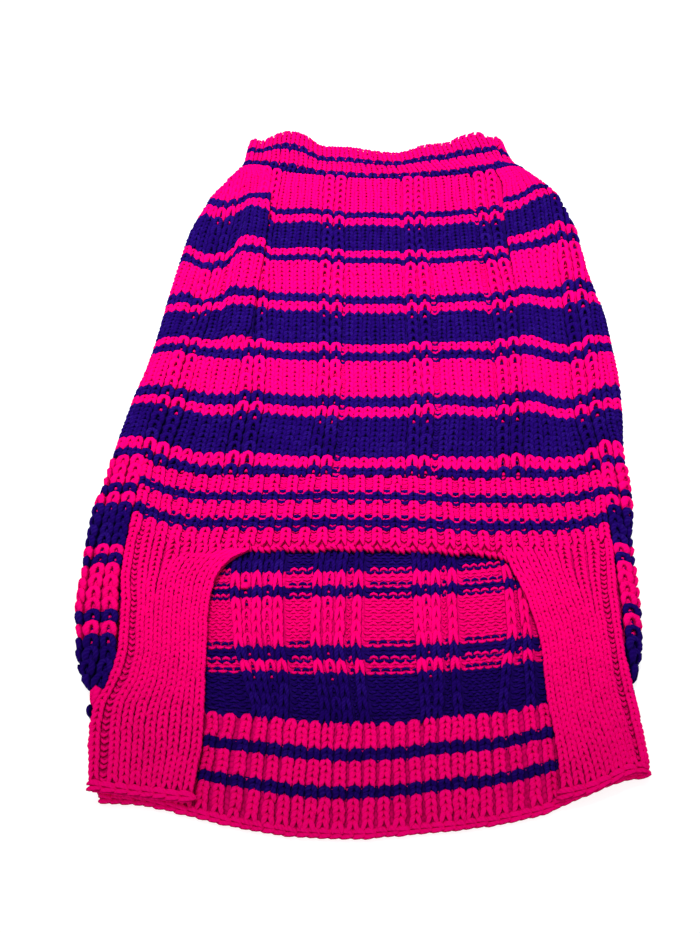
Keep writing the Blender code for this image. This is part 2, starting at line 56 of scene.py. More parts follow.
Array = np.ndarray


class Yarn(Enum):
    """The two yarns, with the place of each in a piece's materials."""

    PINK = 0
    PURPLE = 1


class Side(Enum):
    """A side of the garment, with the direction in from its fold."""

    LEFT = 1
    RIGHT = -1


class Opening(Enum):
    """How a zone of the belly side lies beside the leg openings."""

    CENTRE = "centre"
    LEFT = "left"
    RIGHT = "right"
    RIB = "rib"


class Slot(Enum):
    """The part's material slots."""

    BODY = "purple_striped_knit"
    RIB = "hot_pink_rib_knit"


class Held(Enum):
    """How a sheet is held."""

    LAID = "laid"
    FOLDED = "folded"


class Kind(Enum):
    """The kinds of column."""

    PLAIN = 0
    CHUNKY = 1
    PURL = 2


PINK, PURPLE = Yarn.PINK, Yarn.PURPLE


def ramp(value: Array, start: float, end: float) -> Array:
    """A smooth step from 0 at start to 1 at end, whichever of the two is the greater."""
    held = np.clip((value - start) / (end - start), 0.0, 1.0)
    return held * held * (3.0 - 2.0 * held)


def mix(a: Array | float, b: Array | float, share: Array | float) -> Array | float:
    """The value at a share of the way from a to b."""
    return a + (b - a) * share


@dataclass(frozen=True)
class Curve:
    """A smooth curve with no overshoot through rows of (place, value)."""

    rows: tuple[tuple[float, float], ...]

    def __call__(self, at: Array | float) -> Array:
        """The value at each place, held level past the ends.

        Args:
            at: places along the curve.

        Returns:
            One value for each place.
        """
        xs = np.array([row[0] for row in self.rows])
        ys = np.array([row[1] for row in self.rows])
        chords = np.diff(ys) / np.diff(xs)
        slopes = np.concatenate([chords[:1], np.zeros(len(xs) - 2), chords[-1:]])
        product = chords[:-1] * chords[1:]
        total = np.where(product > 0.0, chords[:-1] + chords[1:], 1.0)
        slopes[1:-1] = np.where(product > 0.0, 2.0 * product / total, 0.0)
        held = np.clip(np.asarray(at, float), xs[0], xs[-1])
        i = np.clip(np.searchsorted(xs, held, side="right") - 1, 0, len(xs) - 2)
        width = xs[i + 1] - xs[i]
        t = (held - xs[i]) / width
        start = ys[i] * (1 + 2 * t) + slopes[i] * width * t
        end = ys[i + 1] * (3 - 2 * t) - slopes[i + 1] * width * (1 - t)
        return start * (1 - t) ** 2 + end * t * t


def upright(x: float) -> Curve:
    """A limit or a column that runs straight up the garment."""
    return Curve(((0.0, x), (1.0, x)))


@dataclass(frozen=True)
class Bow:
    """How far the rows lie above their level: one curve along the rows for each listed level."""

    levels: tuple[float, ...]
    curves: tuple[Curve, ...]

    def __call__(self, x: Array, level: Array) -> Array:
        """The bow at each place.

        Args:
            x: places across the garment.
            level: the rows' levels.

        Returns:
            The distance above the level.
        """
        values = np.stack([curve(x) for curve in self.curves])
        spot = np.interp(level, self.levels, np.arange(len(self.levels)))
        low = np.clip(np.floor(spot).astype(int), 0, len(self.levels) - 2)
        share = spot - low
        before = np.take_along_axis(values, low[None], 0)[0]
        after = np.take_along_axis(values, low[None] + 1, 0)[0]
        return mix(before, after, share)


def bow_table(places: Sequence[float], rows: Sequence[tuple[float, ...]]) -> Bow:
    """A bow from a table."""
    curves = tuple(Curve(tuple(zip(places, row[1:]))) for row in rows)
    return Bow(tuple(row[0] for row in rows), curves)


@dataclass(frozen=True)
class Stripe:
    """A stripe: its yarn, its rows, and the level of its lower limit."""

    yarn: Yarn
    rows: int
    foot: float


@dataclass(frozen=True)
class Rows:
    """Rows of knitting from the top down: the levels of their limits, and their yarn."""

    foot: Array
    top: Array
    yarn: Array

    @staticmethod
    def of(start: float, stripes: Sequence[Stripe]) -> "Rows":
        """Rows from a table of stripes.

        Args:
            start: level of the first stripe's upper limit.
            stripes: the stripes from the top down.

        Returns:
            The rows.
        """
        limits, yarn = [start], []
        for stripe in stripes:
            steps = np.linspace(limits[-1], stripe.foot, stripe.rows + 1)[1:]
            limits += list(steps)
            yarn += [stripe.yarn.value] * stripe.rows
        edges = np.array(limits)
        return Rows(edges[1:], edges[:-1], np.array(yarn))

    def paired(self) -> "Rows":
        """Every two rows taken as one, for slipped stitches that are two rows tall."""
        return Rows(self.foot[1::2], self.top[0:-1:2], self.yarn[1::2])

    def between(self, low: float, high: float) -> "Rows":
        """The rows whose middles lie between two levels."""
        middle = 0.5 * (self.foot + self.top)
        kept = (middle > low) & (middle < high)
        return Rows(self.foot[kept], self.top[kept], self.yarn[kept])

    def above(self) -> Array:
        """The yarn of the row above each row, and the first row's own."""
        return np.concatenate([self.yarn[:1], self.yarn[:-1]])

    def stripes(self, low: float = -math.inf, high: float = math.inf) -> list[Stripe]:
        """The rows whose lower limits lie between two levels, as stripes of one row."""
        each = zip(self.yarn, self.foot)
        return [Stripe(Yarn(int(yarn)), 1, foot) for yarn, foot in each if low < foot < high]


@dataclass(frozen=True)
class Crease:
    """A soft ridge, or a trough where the height is negative, along a straight line."""

    x0: float
    s0: float
    x1: float
    s1: float
    half_width: float
    height: float


@dataclass(frozen=True)
class Garment:
    """The garment's own sizes, the same as in the solids, and the surfaces worked out from them."""

    length: float = 578.0
    middle_x: float = -4.8
    wall: float = 4.0
    layer_gap: float = 0.4
    fold_reach: float = 16.0
    fold_round: float = 6.0
    fold_arc: float = 16.8
    fold_past: float = 20.8
    fold_loft: float = 2.6
    fold_loft_at: float = 14.0
    fold_loft_width: float = 11.0
    rib_top: float = 213.0
    rib_bottom: float = 160.0
    neck_base: float = 517.0
    neck_curve: float = 25.0
    neck_half_width: float = 140.0
    collar_level: float = 556.0
    collar_span: tuple[float, float] = (-122.0, 104.0)
    bump_slack: float = 35.0
    bump_places: tuple[float, ...] = (54.0, 68.0, 80.0, 90.0)
    bump_shares: tuple[float, ...] = (0.0, 1.0, 0.9, 0.0)
    belly_left: float = -101.0
    belly_right: float = 95.0
    arch_lift: float = 6.0
    arch_half_width: float = 30.0
    arch_centres: tuple[float, ...] = (-83.0, 76.0)
    arch_foot: float = 519.0
    arch_crest: float = 556.0
    slit_foot: float = 0.335
    slit_foot_open: float = 0.37
    slit_top_open: float = 0.88
    slit_top: float = 0.915
    flap_lift: float = 5.6
    flap_slope: tuple[float, float] = (15.0, 2.0)
    flap_edge: tuple[float, float] = (-89.0, -93.0)
    slit_width: float = 1.2
    slit_step: float = 1.4
    slit_slope: tuple[float, float] = (26.0, 2.0)
    slit_bow: float = 8.0
    strap_zone: float = 80.0
    strap_lift: tuple[float, float] = (3.0, 1.3)
    strap_lift_span: tuple[float, float] = (46.0, 12.0)
    trough_share: float = 0.5
    floor_gap: float = 0.25
    outline_left: Curve = Curve(
        ((60, -145.8), (70, -145.4), (76, -150), (84, -154.6), (93, -158.8), (105, -161.4),
        (128, -166.4), (150, -167.6), (165, -168.8), (192, -169.6), (206, -167.4), (230, -166.8),
        (279, -162.8), (300, -159.6), (330, -156.8), (363, -155.9), (380, -155.3), (420, -153.2),
        (444, -151.5), (466, -148), (484, -143.6), (495, -140.8), (507, -135.2), (522, -126.8),
        (532, -121.5), (541, -119), (560, -118.6), (578, -117.6)),
    )
    outline_right: Curve = Curve(
        ((60, 140.8), (70, 139.8), (76, 139.3), (84, 139.6), (93, 142.8), (105, 145.4),
        (128, 147.2), (150, 148), (165, 148.6), (192, 152.6), (206, 153.2), (230, 154.2),
        (279, 158.8), (300, 159.6), (330, 159), (363, 157.5), (380, 154.4), (420, 150.2),
        (444, 148.8), (466, 145), (484, 141.2), (495, 138.8), (507, 131.5), (522, 122), (532, 113),
        (541, 104.8), (560, 99.5), (578, 95)),
    )
    hem_edge: Curve = Curve(
        ((-147, 24), (-134, 16.5), (-118, 15.2), (-103, 12.8), (-88, 9.4), (-72, 5.6), (-52, 1.8),
        (-30, -0.4), (-8, -0.8), (14, 0.8), (44, 3.4), (64, 6.2), (84, 10.5), (104, 18.2),
        (118, 24), (128, 27), (142, 28.5)),
    )
    collar_front: Curve = Curve(
        ((-121, 571), (-115, 574), (-107, 567), (-95, 574), (-84, 578), (-72, 576), (-55, 565),
        (-36, 564), (-8, 557), (8, 555.5), (20, 560), (32, 567), (42, 569), (54, 570), (62, 574.5),
        (76, 574.5), (87, 568.5), (93, 571.5), (100, 563)),
    )
    collar_back: Curve = Curve(
        ((-121, 571), (-115, 573), (-95, 567), (-72, 563), (-36, 561), (0.0, 560), (36, 561),
        (64, 565), (87, 570), (100, 571)),
    )
    creases: tuple[Crease, ...] = (
        Crease(-118, 462, -137, 348, 7, -3.6),
        Crease(-104, 470, -120, 352, 10, 2.2),
        Crease(-141, 445, -148, 300, 8, 1.4),
        Crease(139, 420, 148, 290, 9, 2),
        Crease(124, 410, 131, 300, 8, -1.6),
        Crease(112, 500, 120, 430, 10, 1.6),
        Crease(-62, 508, -48, 330, 13, 1.5),
        Crease(-14, 498, -6, 400, 12, 0.9),
        Crease(66, 500, 60, 300, 13, 1.4),
        Crease(-90, 290, -70, 226, 14, 1.1),
        Crease(52, 262, 84, 222, 12, 1.2),
        Crease(-36, 208, -20, 164, 10, 1),
        Crease(26, 206, 40, 166, 9, 0.9),
        Crease(-118, 150, -116, 60, 14, 1),
        Crease(118, 150, 122, 50, 12, 1.2),
    )

    def outline(self, side: Side) -> Curve:
        """The garment's outline on one side."""
        return self.outline_left if side is Side.LEFT else self.outline_right

    def inside(self, x: Array, s: Array) -> Array:
        """How far a place lies in from the nearer outline."""
        return np.minimum(x - self.outline_left(s), self.outline_right(s) - x)

    def neck_line(self, x: Array) -> Array:
        """s of the line where the body meets the neck rib."""
        return self.neck_base + self.neck_curve * (x / self.neck_half_width) ** 2

    def front_row(self, x: Array, share: Array) -> Array:
        """s of a row of the neck rib's front."""
        x = np.clip(x, *self.collar_span)
        held = np.clip(share, 0.0, 1.0)
        slack = np.interp(x, self.bump_places, self.bump_shares)
        rise = mix(self.neck_line(x), self.collar_front(x), share)
        return rise - self.bump_slack * slack * held**2 * (1.0 - held)

    def back_row(self, x: Array, share: Array) -> Array:
        """s of a row of the neck rib's back, at a share of the way from the neck line up."""
        return mix(self.neck_line(x), self.collar_back(x), share)

    def on_neck(
        self, part: Array, level: Array, margin: float, row: Callable[[Array, Array], Array]
    ) -> tuple[Array, Array]:
        """x and s of a place on the neck rib."""
        up = (level - self.neck_base) / (self.collar_level - self.neck_base)
        s = np.broadcast_to(level, np.broadcast(part, level).shape)
        for _ in range(3):
            x = mix(self.outline_left(s) + margin, self.outline_right(s) - margin, part)
            s = row(x, up)
        return x, s

    def soft_height(self, x: Array, s: Array) -> Array:
        """How far the belly side stands off the back.

        Args:
            x: places across the garment.
            s: places up it.

        Returns:
            The height of folds, creases, arches and strap ends together.
        """
        off_fold = (self.inside(x, s) - self.fold_loft_at) / self.fold_loft_width
        total = self.fold_loft * np.exp(-(off_fold**2))
        for crease in self.creases:
            run_x, run_s = crease.x1 - crease.x0, crease.s1 - crease.s0
            share = ((x - crease.x0) * run_x + (s - crease.s0) * run_s) / (run_x**2 + run_s**2)
            held = np.clip(share, 0.0, 1.0)
            away = np.hypot(x - crease.x0 - held * run_x, s - crease.s0 - held * run_s)
            total = total + crease.height * np.exp(-((away / crease.half_width) ** 2))
        rise = ramp(s, self.arch_foot, self.arch_crest)
        for centre in self.arch_centres:
            off = np.minimum(1.0, np.abs(x - centre) / self.arch_half_width)
            total = total + self.arch_lift * rise * (1.0 - off * off) ** 2
        lift = np.where(x < 0.0, *self.strap_lift) * ramp(s, *self.strap_lift_span)
        return total + np.where(np.abs(x) > self.strap_zone, lift, 0.0)

    def face(self, x: Array, s: Array) -> Array:
        """Height of the outer face of the belly side, before its stitches."""
        soft = self.soft_height(x, s)
        flat = 2.0 * self.wall + self.layer_gap
        return flat + np.maximum(0.0, soft) + self.trough_share * np.minimum(0.0, soft)

    def opening_share(self, level: Array) -> Array:
        """The share of the way from the belly rib up to the neck rib."""
        return (level - self.rib_top) / (self.neck_base - self.rib_top)

    def opening_rise(self, x: Array, level: Array, opening: Opening) -> Array:
        """How far a side stands over the belly panel at its leg opening.

        Args:
            x: places across the garment.
            level: the rows' levels.
            opening: the zone.

        Returns:
            The height to add.
        """
        share = self.opening_share(level)
        up = ramp(share, self.slit_foot, self.slit_foot_open)
        down = ramp(share, self.slit_top, self.slit_top_open)
        if opening is Opening.LEFT:
            far, near = self.flap_slope
            return self.flap_lift * up * down * ramp(x, self.belly_left - far, self.belly_left - near)
        if opening is Opening.RIGHT:
            far, near = self.slit_slope
            return self.slit_step * up * down * ramp(x, self.belly_right + far, self.belly_right + near)
        return np.zeros(np.broadcast(x, level).shape)

    def belly_skin(self, x: Array, s: Array, out: Array) -> Array:
        """Points over the belly side, which run on round the side folds.

        Args:
            x: places across the garment. Past a fold's start they run round the fold.
            s: places up the garment.
            out: heights over the outer face.

        Returns:
            Points in millimetres, in the garment's own axes.
        """
        left, right = self.outline_left(s), self.outline_right(s)
        inward = np.where(x - left < right - x, 1.0, -1.0)
        edge = np.where(inward > 0.0, left, right)
        inside = inward * (x - edge)
        folded = inside <= self.fold_round
        top = self.face(np.where(folded, edge + inward * self.fold_round, x), s)
        turned = np.clip((self.fold_round - inside) / self.fold_arc, 0.0, 1.0)
        angle = np.pi * (0.5 - turned)
        past = np.maximum(0.0, (self.fold_round - inside) - self.fold_arc)
        reach = self.fold_round * (1.0 - np.cos(angle)) - np.cos(angle) * out + past
        height = 0.5 * top * (1.0 + np.sin(angle)) + np.sin(angle) * out
        z = np.where(folded, np.maximum(height, self.floor_gap), top + out)
        return np.stack([np.where(folded, edge + inward * reach, x), s, z], -1)

    def floor_skin(self, x: Array, s: Array, out: Array) -> Array:
        """Points over the inner face of the back, which lies on the floor."""
        return np.stack(np.broadcast_arrays(x, s, self.wall + out), -1)

    def metres(self, points: Array) -> Array:
        """Garment points in millimetres to points in metres in the part's frame."""
        moved = points - np.array([self.middle_x, self.length / 2, 0.0])
        return moved * MM


GARMENT = Garment()
Skin = Callable[[Array, Array, Array], Array]
Ground = Callable[[Array, Array], tuple[Array, Array]]
Spacing = Callable[[Array, Array], Array]
Limit = Callable[[Array], Array]


@dataclass(frozen=True)
class Strand:
    """A length of yarn inside one stitch, from one end to the other.

    across is in shares of the stitch's width from its middle, up in shares of the row's height
    from its lower limit, out and thick in shares of the yarn's half thickness.
    """

    across: tuple[float, ...]
    up: tuple[float, ...]
    out: tuple[float, ...]
    thick: tuple[float, ...]

    def pair(self) -> tuple["Strand", "Strand"]:
        """The strand, and the same strand on the other side of the stitch."""
        return self, Strand(tuple(-a for a in self.across), self.up, self.out, self.thick)


LEG = Strand(
    across=(0.0, 0.06, 0.15, 0.26, 0.36, 0.44),
    up=(1.4, 1.14, 0.78, 0.38, -0.04, -0.46),
    out=(-0.6, 0.1, 0.74, 1, 0.98, 0.72),
    thick=(0.3, 0.64, 0.9, 1.02, 0.92, 0.34),
)
RIB_LEG = Strand(
    across=(0.01, 0.07, 0.16, 0.26, 0.35, 0.42),
    up=(1.38, 1.12, 0.76, 0.32, -0.12, -0.56),
    out=(-0.6, 0.1, 0.74, 1, 0.98, 0.7),
    thick=(0.3, 0.66, 0.94, 1.04, 0.92, 0.32),
)
LONG_LEG = Strand(
    across=(0.03, 0.08, 0.15, 0.22, 0.27, 0.31),
    up=(1.16, 1, 0.7, 0.32, -0.06, -0.38),
    out=(-0.6, 0.15, 0.82, 1, 1, 0.8),
    thick=(0.4, 0.78, 1.02, 1.04, 0.86, 0.26),
)
ARCH = Strand(
    across=(-0.24, -0.28, -0.29, -0.2, 0.0, 0.2, 0.29, 0.28, 0.24),
    up=(-0.24, 0.08, 0.44, 0.76, 0.88, 0.76, 0.44, 0.08, -0.24),
    out=(-0.1, 0.6, 0.96, 0.98, 0.9, 0.98, 0.96, 0.6, -0.1),
    thick=(0.44, 0.9, 1.04, 1.02, 0.94, 1.02, 1.04, 0.9, 0.44),
)
ARCH_DOT = Strand(
    across=(-0.14, -0.04, 0.04, 0.14),
    up=(0.36, 0.38, 0.38, 0.36),
    out=(0.1, 0.6, 0.6, 0.1),
    thick=(0.36, 0.6, 0.6, 0.36),
)
ARCH_LINING = Strand(
    across=(0.0, 0.0, 0.0, 0.0),
    up=(0.66, 0.34, 0.04, -0.22),
    out=(-0.1, -0.1, -0.1, -0.1),
    thick=(0.6, 1.2, 1.2, 0.6),
)
PURL_HEAD = Strand(
    across=(-0.5, -0.3, 0.0, 0.3, 0.5),
    up=(0.1, -0.2, -0.32, -0.2, 0.1),
    out=(-0.6, 0.4, 0.8, 0.4, -0.6),
    thick=(0.4, 0.85, 1, 0.85, 0.4),
)
PURL_FOOT = Strand(
    across=(0.0, 0.2, 0.5, 0.8, 1),
    up=(0.95, 1.25, 1.36, 1.25, 0.95),
    out=(-0.6, 0.4, 0.8, 0.4, -0.6),
    thick=(0.4, 0.85, 1, 0.85, 0.4),
)
RIB_VEE = Strand(
    across=(-0.48, -0.25, 0.0, 0.25, 0.48),
    up=(0.3, -0.18, -0.46, -0.18, 0.3),
    out=(-0.3, 0.45, 0.6, 0.45, -0.3),
    thick=(0.5, 0.9, 1.04, 0.9, 0.5),
)
RIB_FOOT = Strand(
    across=(-0.46, -0.24, 0.0, 0.24, 0.46),
    up=(1.8, 1.45, 1.24, 1.45, 1.8),
    out=(-0.4, 0.35, 0.5, 0.35, -0.4),
    thick=(0.44, 0.84, 0.96, 0.84, 0.44),
)
KNOT = Strand(
    across=(-0.4, -0.26, 0.0, 0.26, 0.4),
    up=(0.5, 0.5, 0.52, 0.5, 0.48),
    out=(0.1, 0.55, 0.7, 0.55, 0.1),
    thick=(0.5, 0.9, 1.04, 0.9, 0.5),
)
EDGE_LUMP = Strand(
    across=(-0.3, -0.18, 0.14, 0.46, 0.62),
    up=(1.1, 0.96, 0.52, 0.1, -0.04),
    out=(-0.4, 0.5, 0.95, 0.75, -0.2),
    thick=(0.5, 0.92, 1.06, 0.94, 0.5),
)
VALLEY_BAR = Strand(
    across=(-0.6, -0.2, 0.2, 0.6),
    up=(0.56, 0.44, 0.44, 0.56),
    out=(-0.95, -0.6, -0.6, -0.95),
    thick=(0.5, 0.58, 0.58, 0.5),
)
CHAIN_OUTER = Strand(
    across=(-0.35, 0.0, 0.42, 0.84, 1.25),
    up=(0.06, 0.0, 0.06, 0.22, 0.44),
    out=(-0.5, 0.5, 0.9, 0.8, -0.2),
    thick=(0.44, 0.95, 1.05, 0.95, 0.44),
)
CHAIN_INNER = Strand(
    across=(-0.35, 0.0, 0.42, 0.84, 1.25),
    up=(0.94, 1, 0.94, 0.78, 0.56),
    out=(-0.5, 0.5, 0.9, 0.8, -0.2),
    thick=(0.44, 0.95, 1.05, 0.95, 0.44),
)
KNIT = LEG.pair()
RIB_KNIT = RIB_LEG.pair()
LONG_KNIT = LONG_LEG.pair()
PURL = (PURL_HEAD, PURL_FOOT)
RIB_PURL = (RIB_VEE, RIB_FOOT)


def steady(value: float) -> Spacing:
    """The same place or width for every column at any level."""

    def same(column: Array, level: Array) -> Array:
        """The value at each place."""
        return np.full(level.shape, value)

    return same


@dataclass
class Cells:
    """Places for stitches of one kind, one entry for each stitch."""

    centre: Spacing
    width: Spacing
    column: Array
    foot: Array
    top: Array
    yarn: Array
    above: Array

    @staticmethod
    def grid(rows: Rows, columns: int, centre: Spacing, width: Spacing) -> "Cells":
        """One cell for each row and column."""
        column = np.tile(np.arange(columns), len(rows.foot))
        by_row = (rows.foot, rows.top, rows.yarn, rows.above())
        return Cells(centre, width, column, *(np.repeat(values, columns) for values in by_row))

    def kept(self, keep: Array) -> "Cells":
        """The cells where keep is true."""
        each = (self.column, self.foot, self.top, self.yarn, self.above)
        return Cells(self.centre, self.width, *(values[keep] for values in each))

    def places(self) -> tuple[Array, Array]:
        """The middle of each cell: across, and its level."""
        level = 0.5 * (self.foot + self.top)
        return self.centre(self.column, level), level


@dataclass
class YarnMesh:
    """Strands of yarn, joined into one mesh.

    The sides are the directions round a strand that have points, in degrees from its top.
    """

    name: str
    seed: int
    points: list[Array] = field(default_factory=list)
    faces: list[Array] = field(default_factory=list)
    slots: list[Array] = field(default_factory=list)
    lengths: list[Array] = field(default_factory=list)
    tones: list[Array] = field(default_factory=list)
    count: int = 0
    sides: tuple[float, ...] = (-108.0, -54.0, 0.0, 54.0, 108.0)
    round_sides: tuple[float, ...] = (-165.0, -110.0, -55.0, 0.0, 55.0, 110.0, 165.0)
    round_scale: float = 1.4
    ply_shift: float = 20.0
    most_drift: float = 0.5
    swell: float = 0.045
    # How much darker a strand's thin ends are made: painted shade where it dips under its neighbours.
    end_shade: float = 1.5
    level_step: float = 0.01

    def __post_init__(self) -> None:
        """Starts the mesh's own random numbers."""
        self.random = np.random.default_rng(self.seed)

    def drift(self, unevenness: float, ways: int, many: int) -> Array:
        """How far each of many stitches sits off its place, in each of a number of ways."""
        size = (ways, many, 1)
        return self.random.normal(0.0, unevenness, size).clip(-self.most_drift, self.most_drift)

    def strands(
        self,
        x: Array,
        s: Array,
        out: Array,
        radius: Array,
        skin: Skin,
        yarn: Array,
        tone: Array,
        whole: bool = False,
    ) -> None:
        """Adds strands as tubes that are open underneath.

        Args:
            x: middle lines across the garment, one row for each strand.
            s: middle lines up it.
            out: their heights over the surface.
            radius: the yarn's half thickness along them.
            skin: the surface that they lie on.
            yarn: the yarn of each strand.
            tone: how light each point of each middle line is, from 0 to 1, less painted shade at a
                strand's thin ends.
            whole: whether the tubes run nearly all the way round.
        """
        run_x, run_s = np.gradient(x, axis=1), np.gradient(s, axis=1)
        size = np.maximum(np.hypot(run_x, run_s), 1e-6)
        side_x, side_s = -run_s / size, run_x / size
        angles = np.radians(np.array(self.round_sides if whole else self.sides))
        reach = radius[..., None] * np.sin(angles)
        grid_x = x[..., None] + side_x[..., None] * reach
        grid_s = s[..., None] + side_s[..., None] * reach
        grid_out = out[..., None] + radius[..., None] * np.cos(angles)
        points = skin(grid_x, grid_s, grid_out)
        strands, rings, sides = points.shape[:3]
        index = self.count + np.arange(strands * rings * sides).reshape(strands, rings, sides)
        quads = np.stack(
            [index[:, :-1, :-1], index[:, 1:, :-1], index[:, 1:, 1:], index[:, :-1, 1:]], -1
        )
        along = np.concatenate(
            [np.zeros((strands, 1)), np.cumsum(np.hypot(np.diff(x), np.diff(s)), axis=1)], 1
        )
        along = along + self.random.uniform(0.0, self.ply_shift, (strands, 1))
        around = np.broadcast_to(angles * self.round_scale, points.shape[:3])
        self.points.append(points.reshape(-1, 3))
        self.faces.append(quads.reshape(-1, 4))
        self.slots.append(np.repeat(yarn, (rings - 1) * (sides - 1)))
        uv = np.stack([np.broadcast_to(along[..., None], around.shape), around], -1)
        self.lengths.append(uv.reshape(-1, 2))
        self.tones.append(np.repeat(tone.ravel(), sides))
        self.count += strands * rings * sides

    def knit(
        self,
        cells: Cells,
        strands: Sequence[Strand],
        ground: Ground,
        skin: Skin,
        half_thick: float,
        lift: float = 0.0,
        unevenness: float = 0.22,
        yarn: Array | None = None,
        squared: bool = False,
    ) -> None:
        """Adds one stitch to each cell.

        Args:
            cells: where the stitches are.
            strands: the strands of one stitch.
            ground: turns a place across and a level into x and s.
            skin: the surface that the stitches lie on.
            half_thick: the yarn's half thickness.
            lift: height added to every strand.
            unevenness: how far a stitch may sit off its place.
            yarn: the yarn of each stitch, where it isn't the cell's own.
            squared: whether the stitches stand square to a column that leans.
        """
        many = len(cells.column)
        if many == 0:
            return
        drift = self.drift(unevenness, 3, many)
        swell = 1.0 + self.random.normal(0.0, self.swell, (many, 1))
        tone = self.random.uniform(0.0, 1.0, many)
        for strand in strands:
            across, up, out, thick = (
                np.array(part)[None] for part in (strand.across, strand.up, strand.out, strand.thick)
            )
            level = cells.foot[:, None] + up * (cells.top - cells.foot)[:, None]
            column = np.broadcast_to(cells.column[:, None], level.shape)
            middle = cells.centre(column, level)
            x, s = ground(middle + across * cells.width(column, level), level)
            if squared:
                x, s = self.square(x, s, middle, level, ground)
            self.strands(
                x + drift[0],
                s + drift[1],
                np.broadcast_to(half_thick * out + lift + 0.5 * drift[2], x.shape),
                np.broadcast_to(half_thick * thick * swell, x.shape),
                skin,
                cells.yarn if yarn is None else yarn,
                # Painted shade: the random tone drops towards the strand's thin ends, where it dips
                # under other yarn.
                tone[:, None] - self.end_shade * (1.0 - thick),
            )

    def slip(
        self,
        cells: Cells,
        ground: Ground,
        skin: Skin,
        half_thick: float,
        lift: float,
        unevenness: float = 0.22,
    ) -> None:
        """Adds a slipped arch to each cell, with a dot of the yarn above in its opening."""
        self.knit(cells, (ARCH,), ground, skin, half_thick, lift=lift, unevenness=unevenness)
        self.knit(cells, (ARCH_DOT,), ground, skin, half_thick, yarn=cells.above)

    def square(
        self, x: Array, s: Array, middle: Array, level: Array, ground: Ground
    ) -> tuple[Array, Array]:
        """Turns the places of leaning stitches square to their column."""
        foot_x, foot_s = ground(middle, level)
        head_x, head_s = ground(middle, level + self.level_step)
        run_x, run_s = head_x - foot_x, head_s - foot_s
        slip = ((x - foot_x) * run_x + (s - foot_s) * run_s) / (run_x**2 + run_s**2)
        return x - slip * run_x, s - slip * run_s

    def build(self, materials: Sequence[bpy.types.Material]) -> bpy.types.Object:
        """The finished mesh as a piece.

        Args:
            materials: one material for each yarn.

        Returns:
            The piece, which rides on the part.
        """
        obj = mesh_object(
            self.name,
            GARMENT.metres(np.concatenate(self.points)),
            np.concatenate(self.faces),
            np.concatenate(self.slots),
            materials,
        )
        mesh = obj.data
        map_strands(mesh, np.concatenate(self.lengths))
        tone = mesh.attributes.new("tone", "FLOAT", "POINT")
        tone.data.foreach_set("value", np.concatenate(self.tones).astype(np.float32))
        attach(obj, "root")
        return obj


def mesh_object(
    name: str, points: Array, faces: Array, slots: Array, materials: Sequence[bpy.types.Material]
) -> bpy.types.Object:
    """A smooth mesh of quads.

    Args:
        name: the object's name.
        points: its points in metres.
        faces: four point numbers for each face.
        slots: the material of each face.
        materials: the materials.

    Returns:
        The object, in the scene.
    """
    mesh = bpy.data.meshes.new(name)
    mesh.vertices.add(len(points))
    mesh.vertices.foreach_set("co", np.asarray(points, np.float32).ravel())
    mesh.loops.add(faces.size)
    mesh.loops.foreach_set("vertex_index", np.asarray(faces, np.int32).ravel())
    mesh.polygons.add(len(faces))
    mesh.polygons.foreach_set("loop_start", np.arange(0, faces.size, 4, dtype=np.int32))
    mesh.polygons.foreach_set("use_smooth", np.ones(len(faces), bool))
    for material in materials:
        mesh.materials.append(material)
    mesh.polygons.foreach_set("material_index", np.asarray(slots, np.int32))
    mesh.update(calc_edges=True)
    mesh.validate()
    obj = bpy.data.objects.new(name, mesh)
    bpy.context.scene.collection.objects.link(obj)
    return obj


@dataclass(frozen=True)
class Patch:
    """A stretch of fabric: rows of knitting between a left and a right limit.

    ground takes a share of the way across, from left to right, and a level.
    """

    rows: Rows
    columns: int
    ground: Ground
    skin: Skin
    top: float = -1.2
    thick: float = 1.2
    steps: int = 24

    def layer(self, out: float) -> Array:
        """The points of one face of the fabric, at a height over the skin."""
        levels = np.concatenate([self.rows.top, self.rows.foot[-1:]])
        share, level = np.meshgrid(np.linspace(0.0, 1.0, self.steps + 1), levels)
        x, s = self.ground(share, level)
        return self.skin(x, s, np.full(x.shape, out))

    def parts(self) -> tuple[Array, Array, Array, Array]:
        """The closed fabric.

        Returns:
            Points, faces, the yarn of each face, and each point's column and row.
        """
        outer, inner = self.layer(self.top), self.layer(self.top - self.thick)
        rows, steps = outer.shape[0], outer.shape[1]
        index = np.arange(rows * steps).reshape(rows, steps)
        below = index + rows * steps
        face = [index[:-1, :-1], index[1:, :-1], index[1:, 1:], index[:-1, 1:]]
        quads = [np.stack(face, -1).reshape(-1, 4)]
        quads.append(np.stack([part + rows * steps for part in face][::-1], -1).reshape(-1, 4))
        yarn = np.repeat(self.rows.yarn, steps - 1)
        yarns = [yarn, yarn]
        for a, b, c, d, tone in (
            (index[0, 1:], index[0, :-1], below[0, :-1], below[0, 1:], self.rows.yarn[:1]),
            (index[-1, :-1], index[-1, 1:], below[-1, 1:], below[-1, :-1], self.rows.yarn[-1:]),
            (index[:-1, 0], index[1:, 0], below[1:, 0], below[:-1, 0], self.rows.yarn),
            (index[1:, -1], index[:-1, -1], below[:-1, -1], below[1:, -1], self.rows.yarn),
        ):
            quads.append(np.stack([d, c, b, a], -1))
            yarns.append(np.broadcast_to(tone, a.shape))
        across = np.broadcast_to(np.linspace(0.0, self.columns, steps), (rows, steps))
        down = np.broadcast_to(np.arange(rows, dtype=float)[:, None], (rows, steps))
        uv = np.tile(np.stack([across, down], -1).reshape(-1, 2), (2, 1))
        points = np.concatenate([outer.reshape(-1, 3), inner.reshape(-1, 3)])
        return points, np.concatenate(quads), np.concatenate(yarns), uv


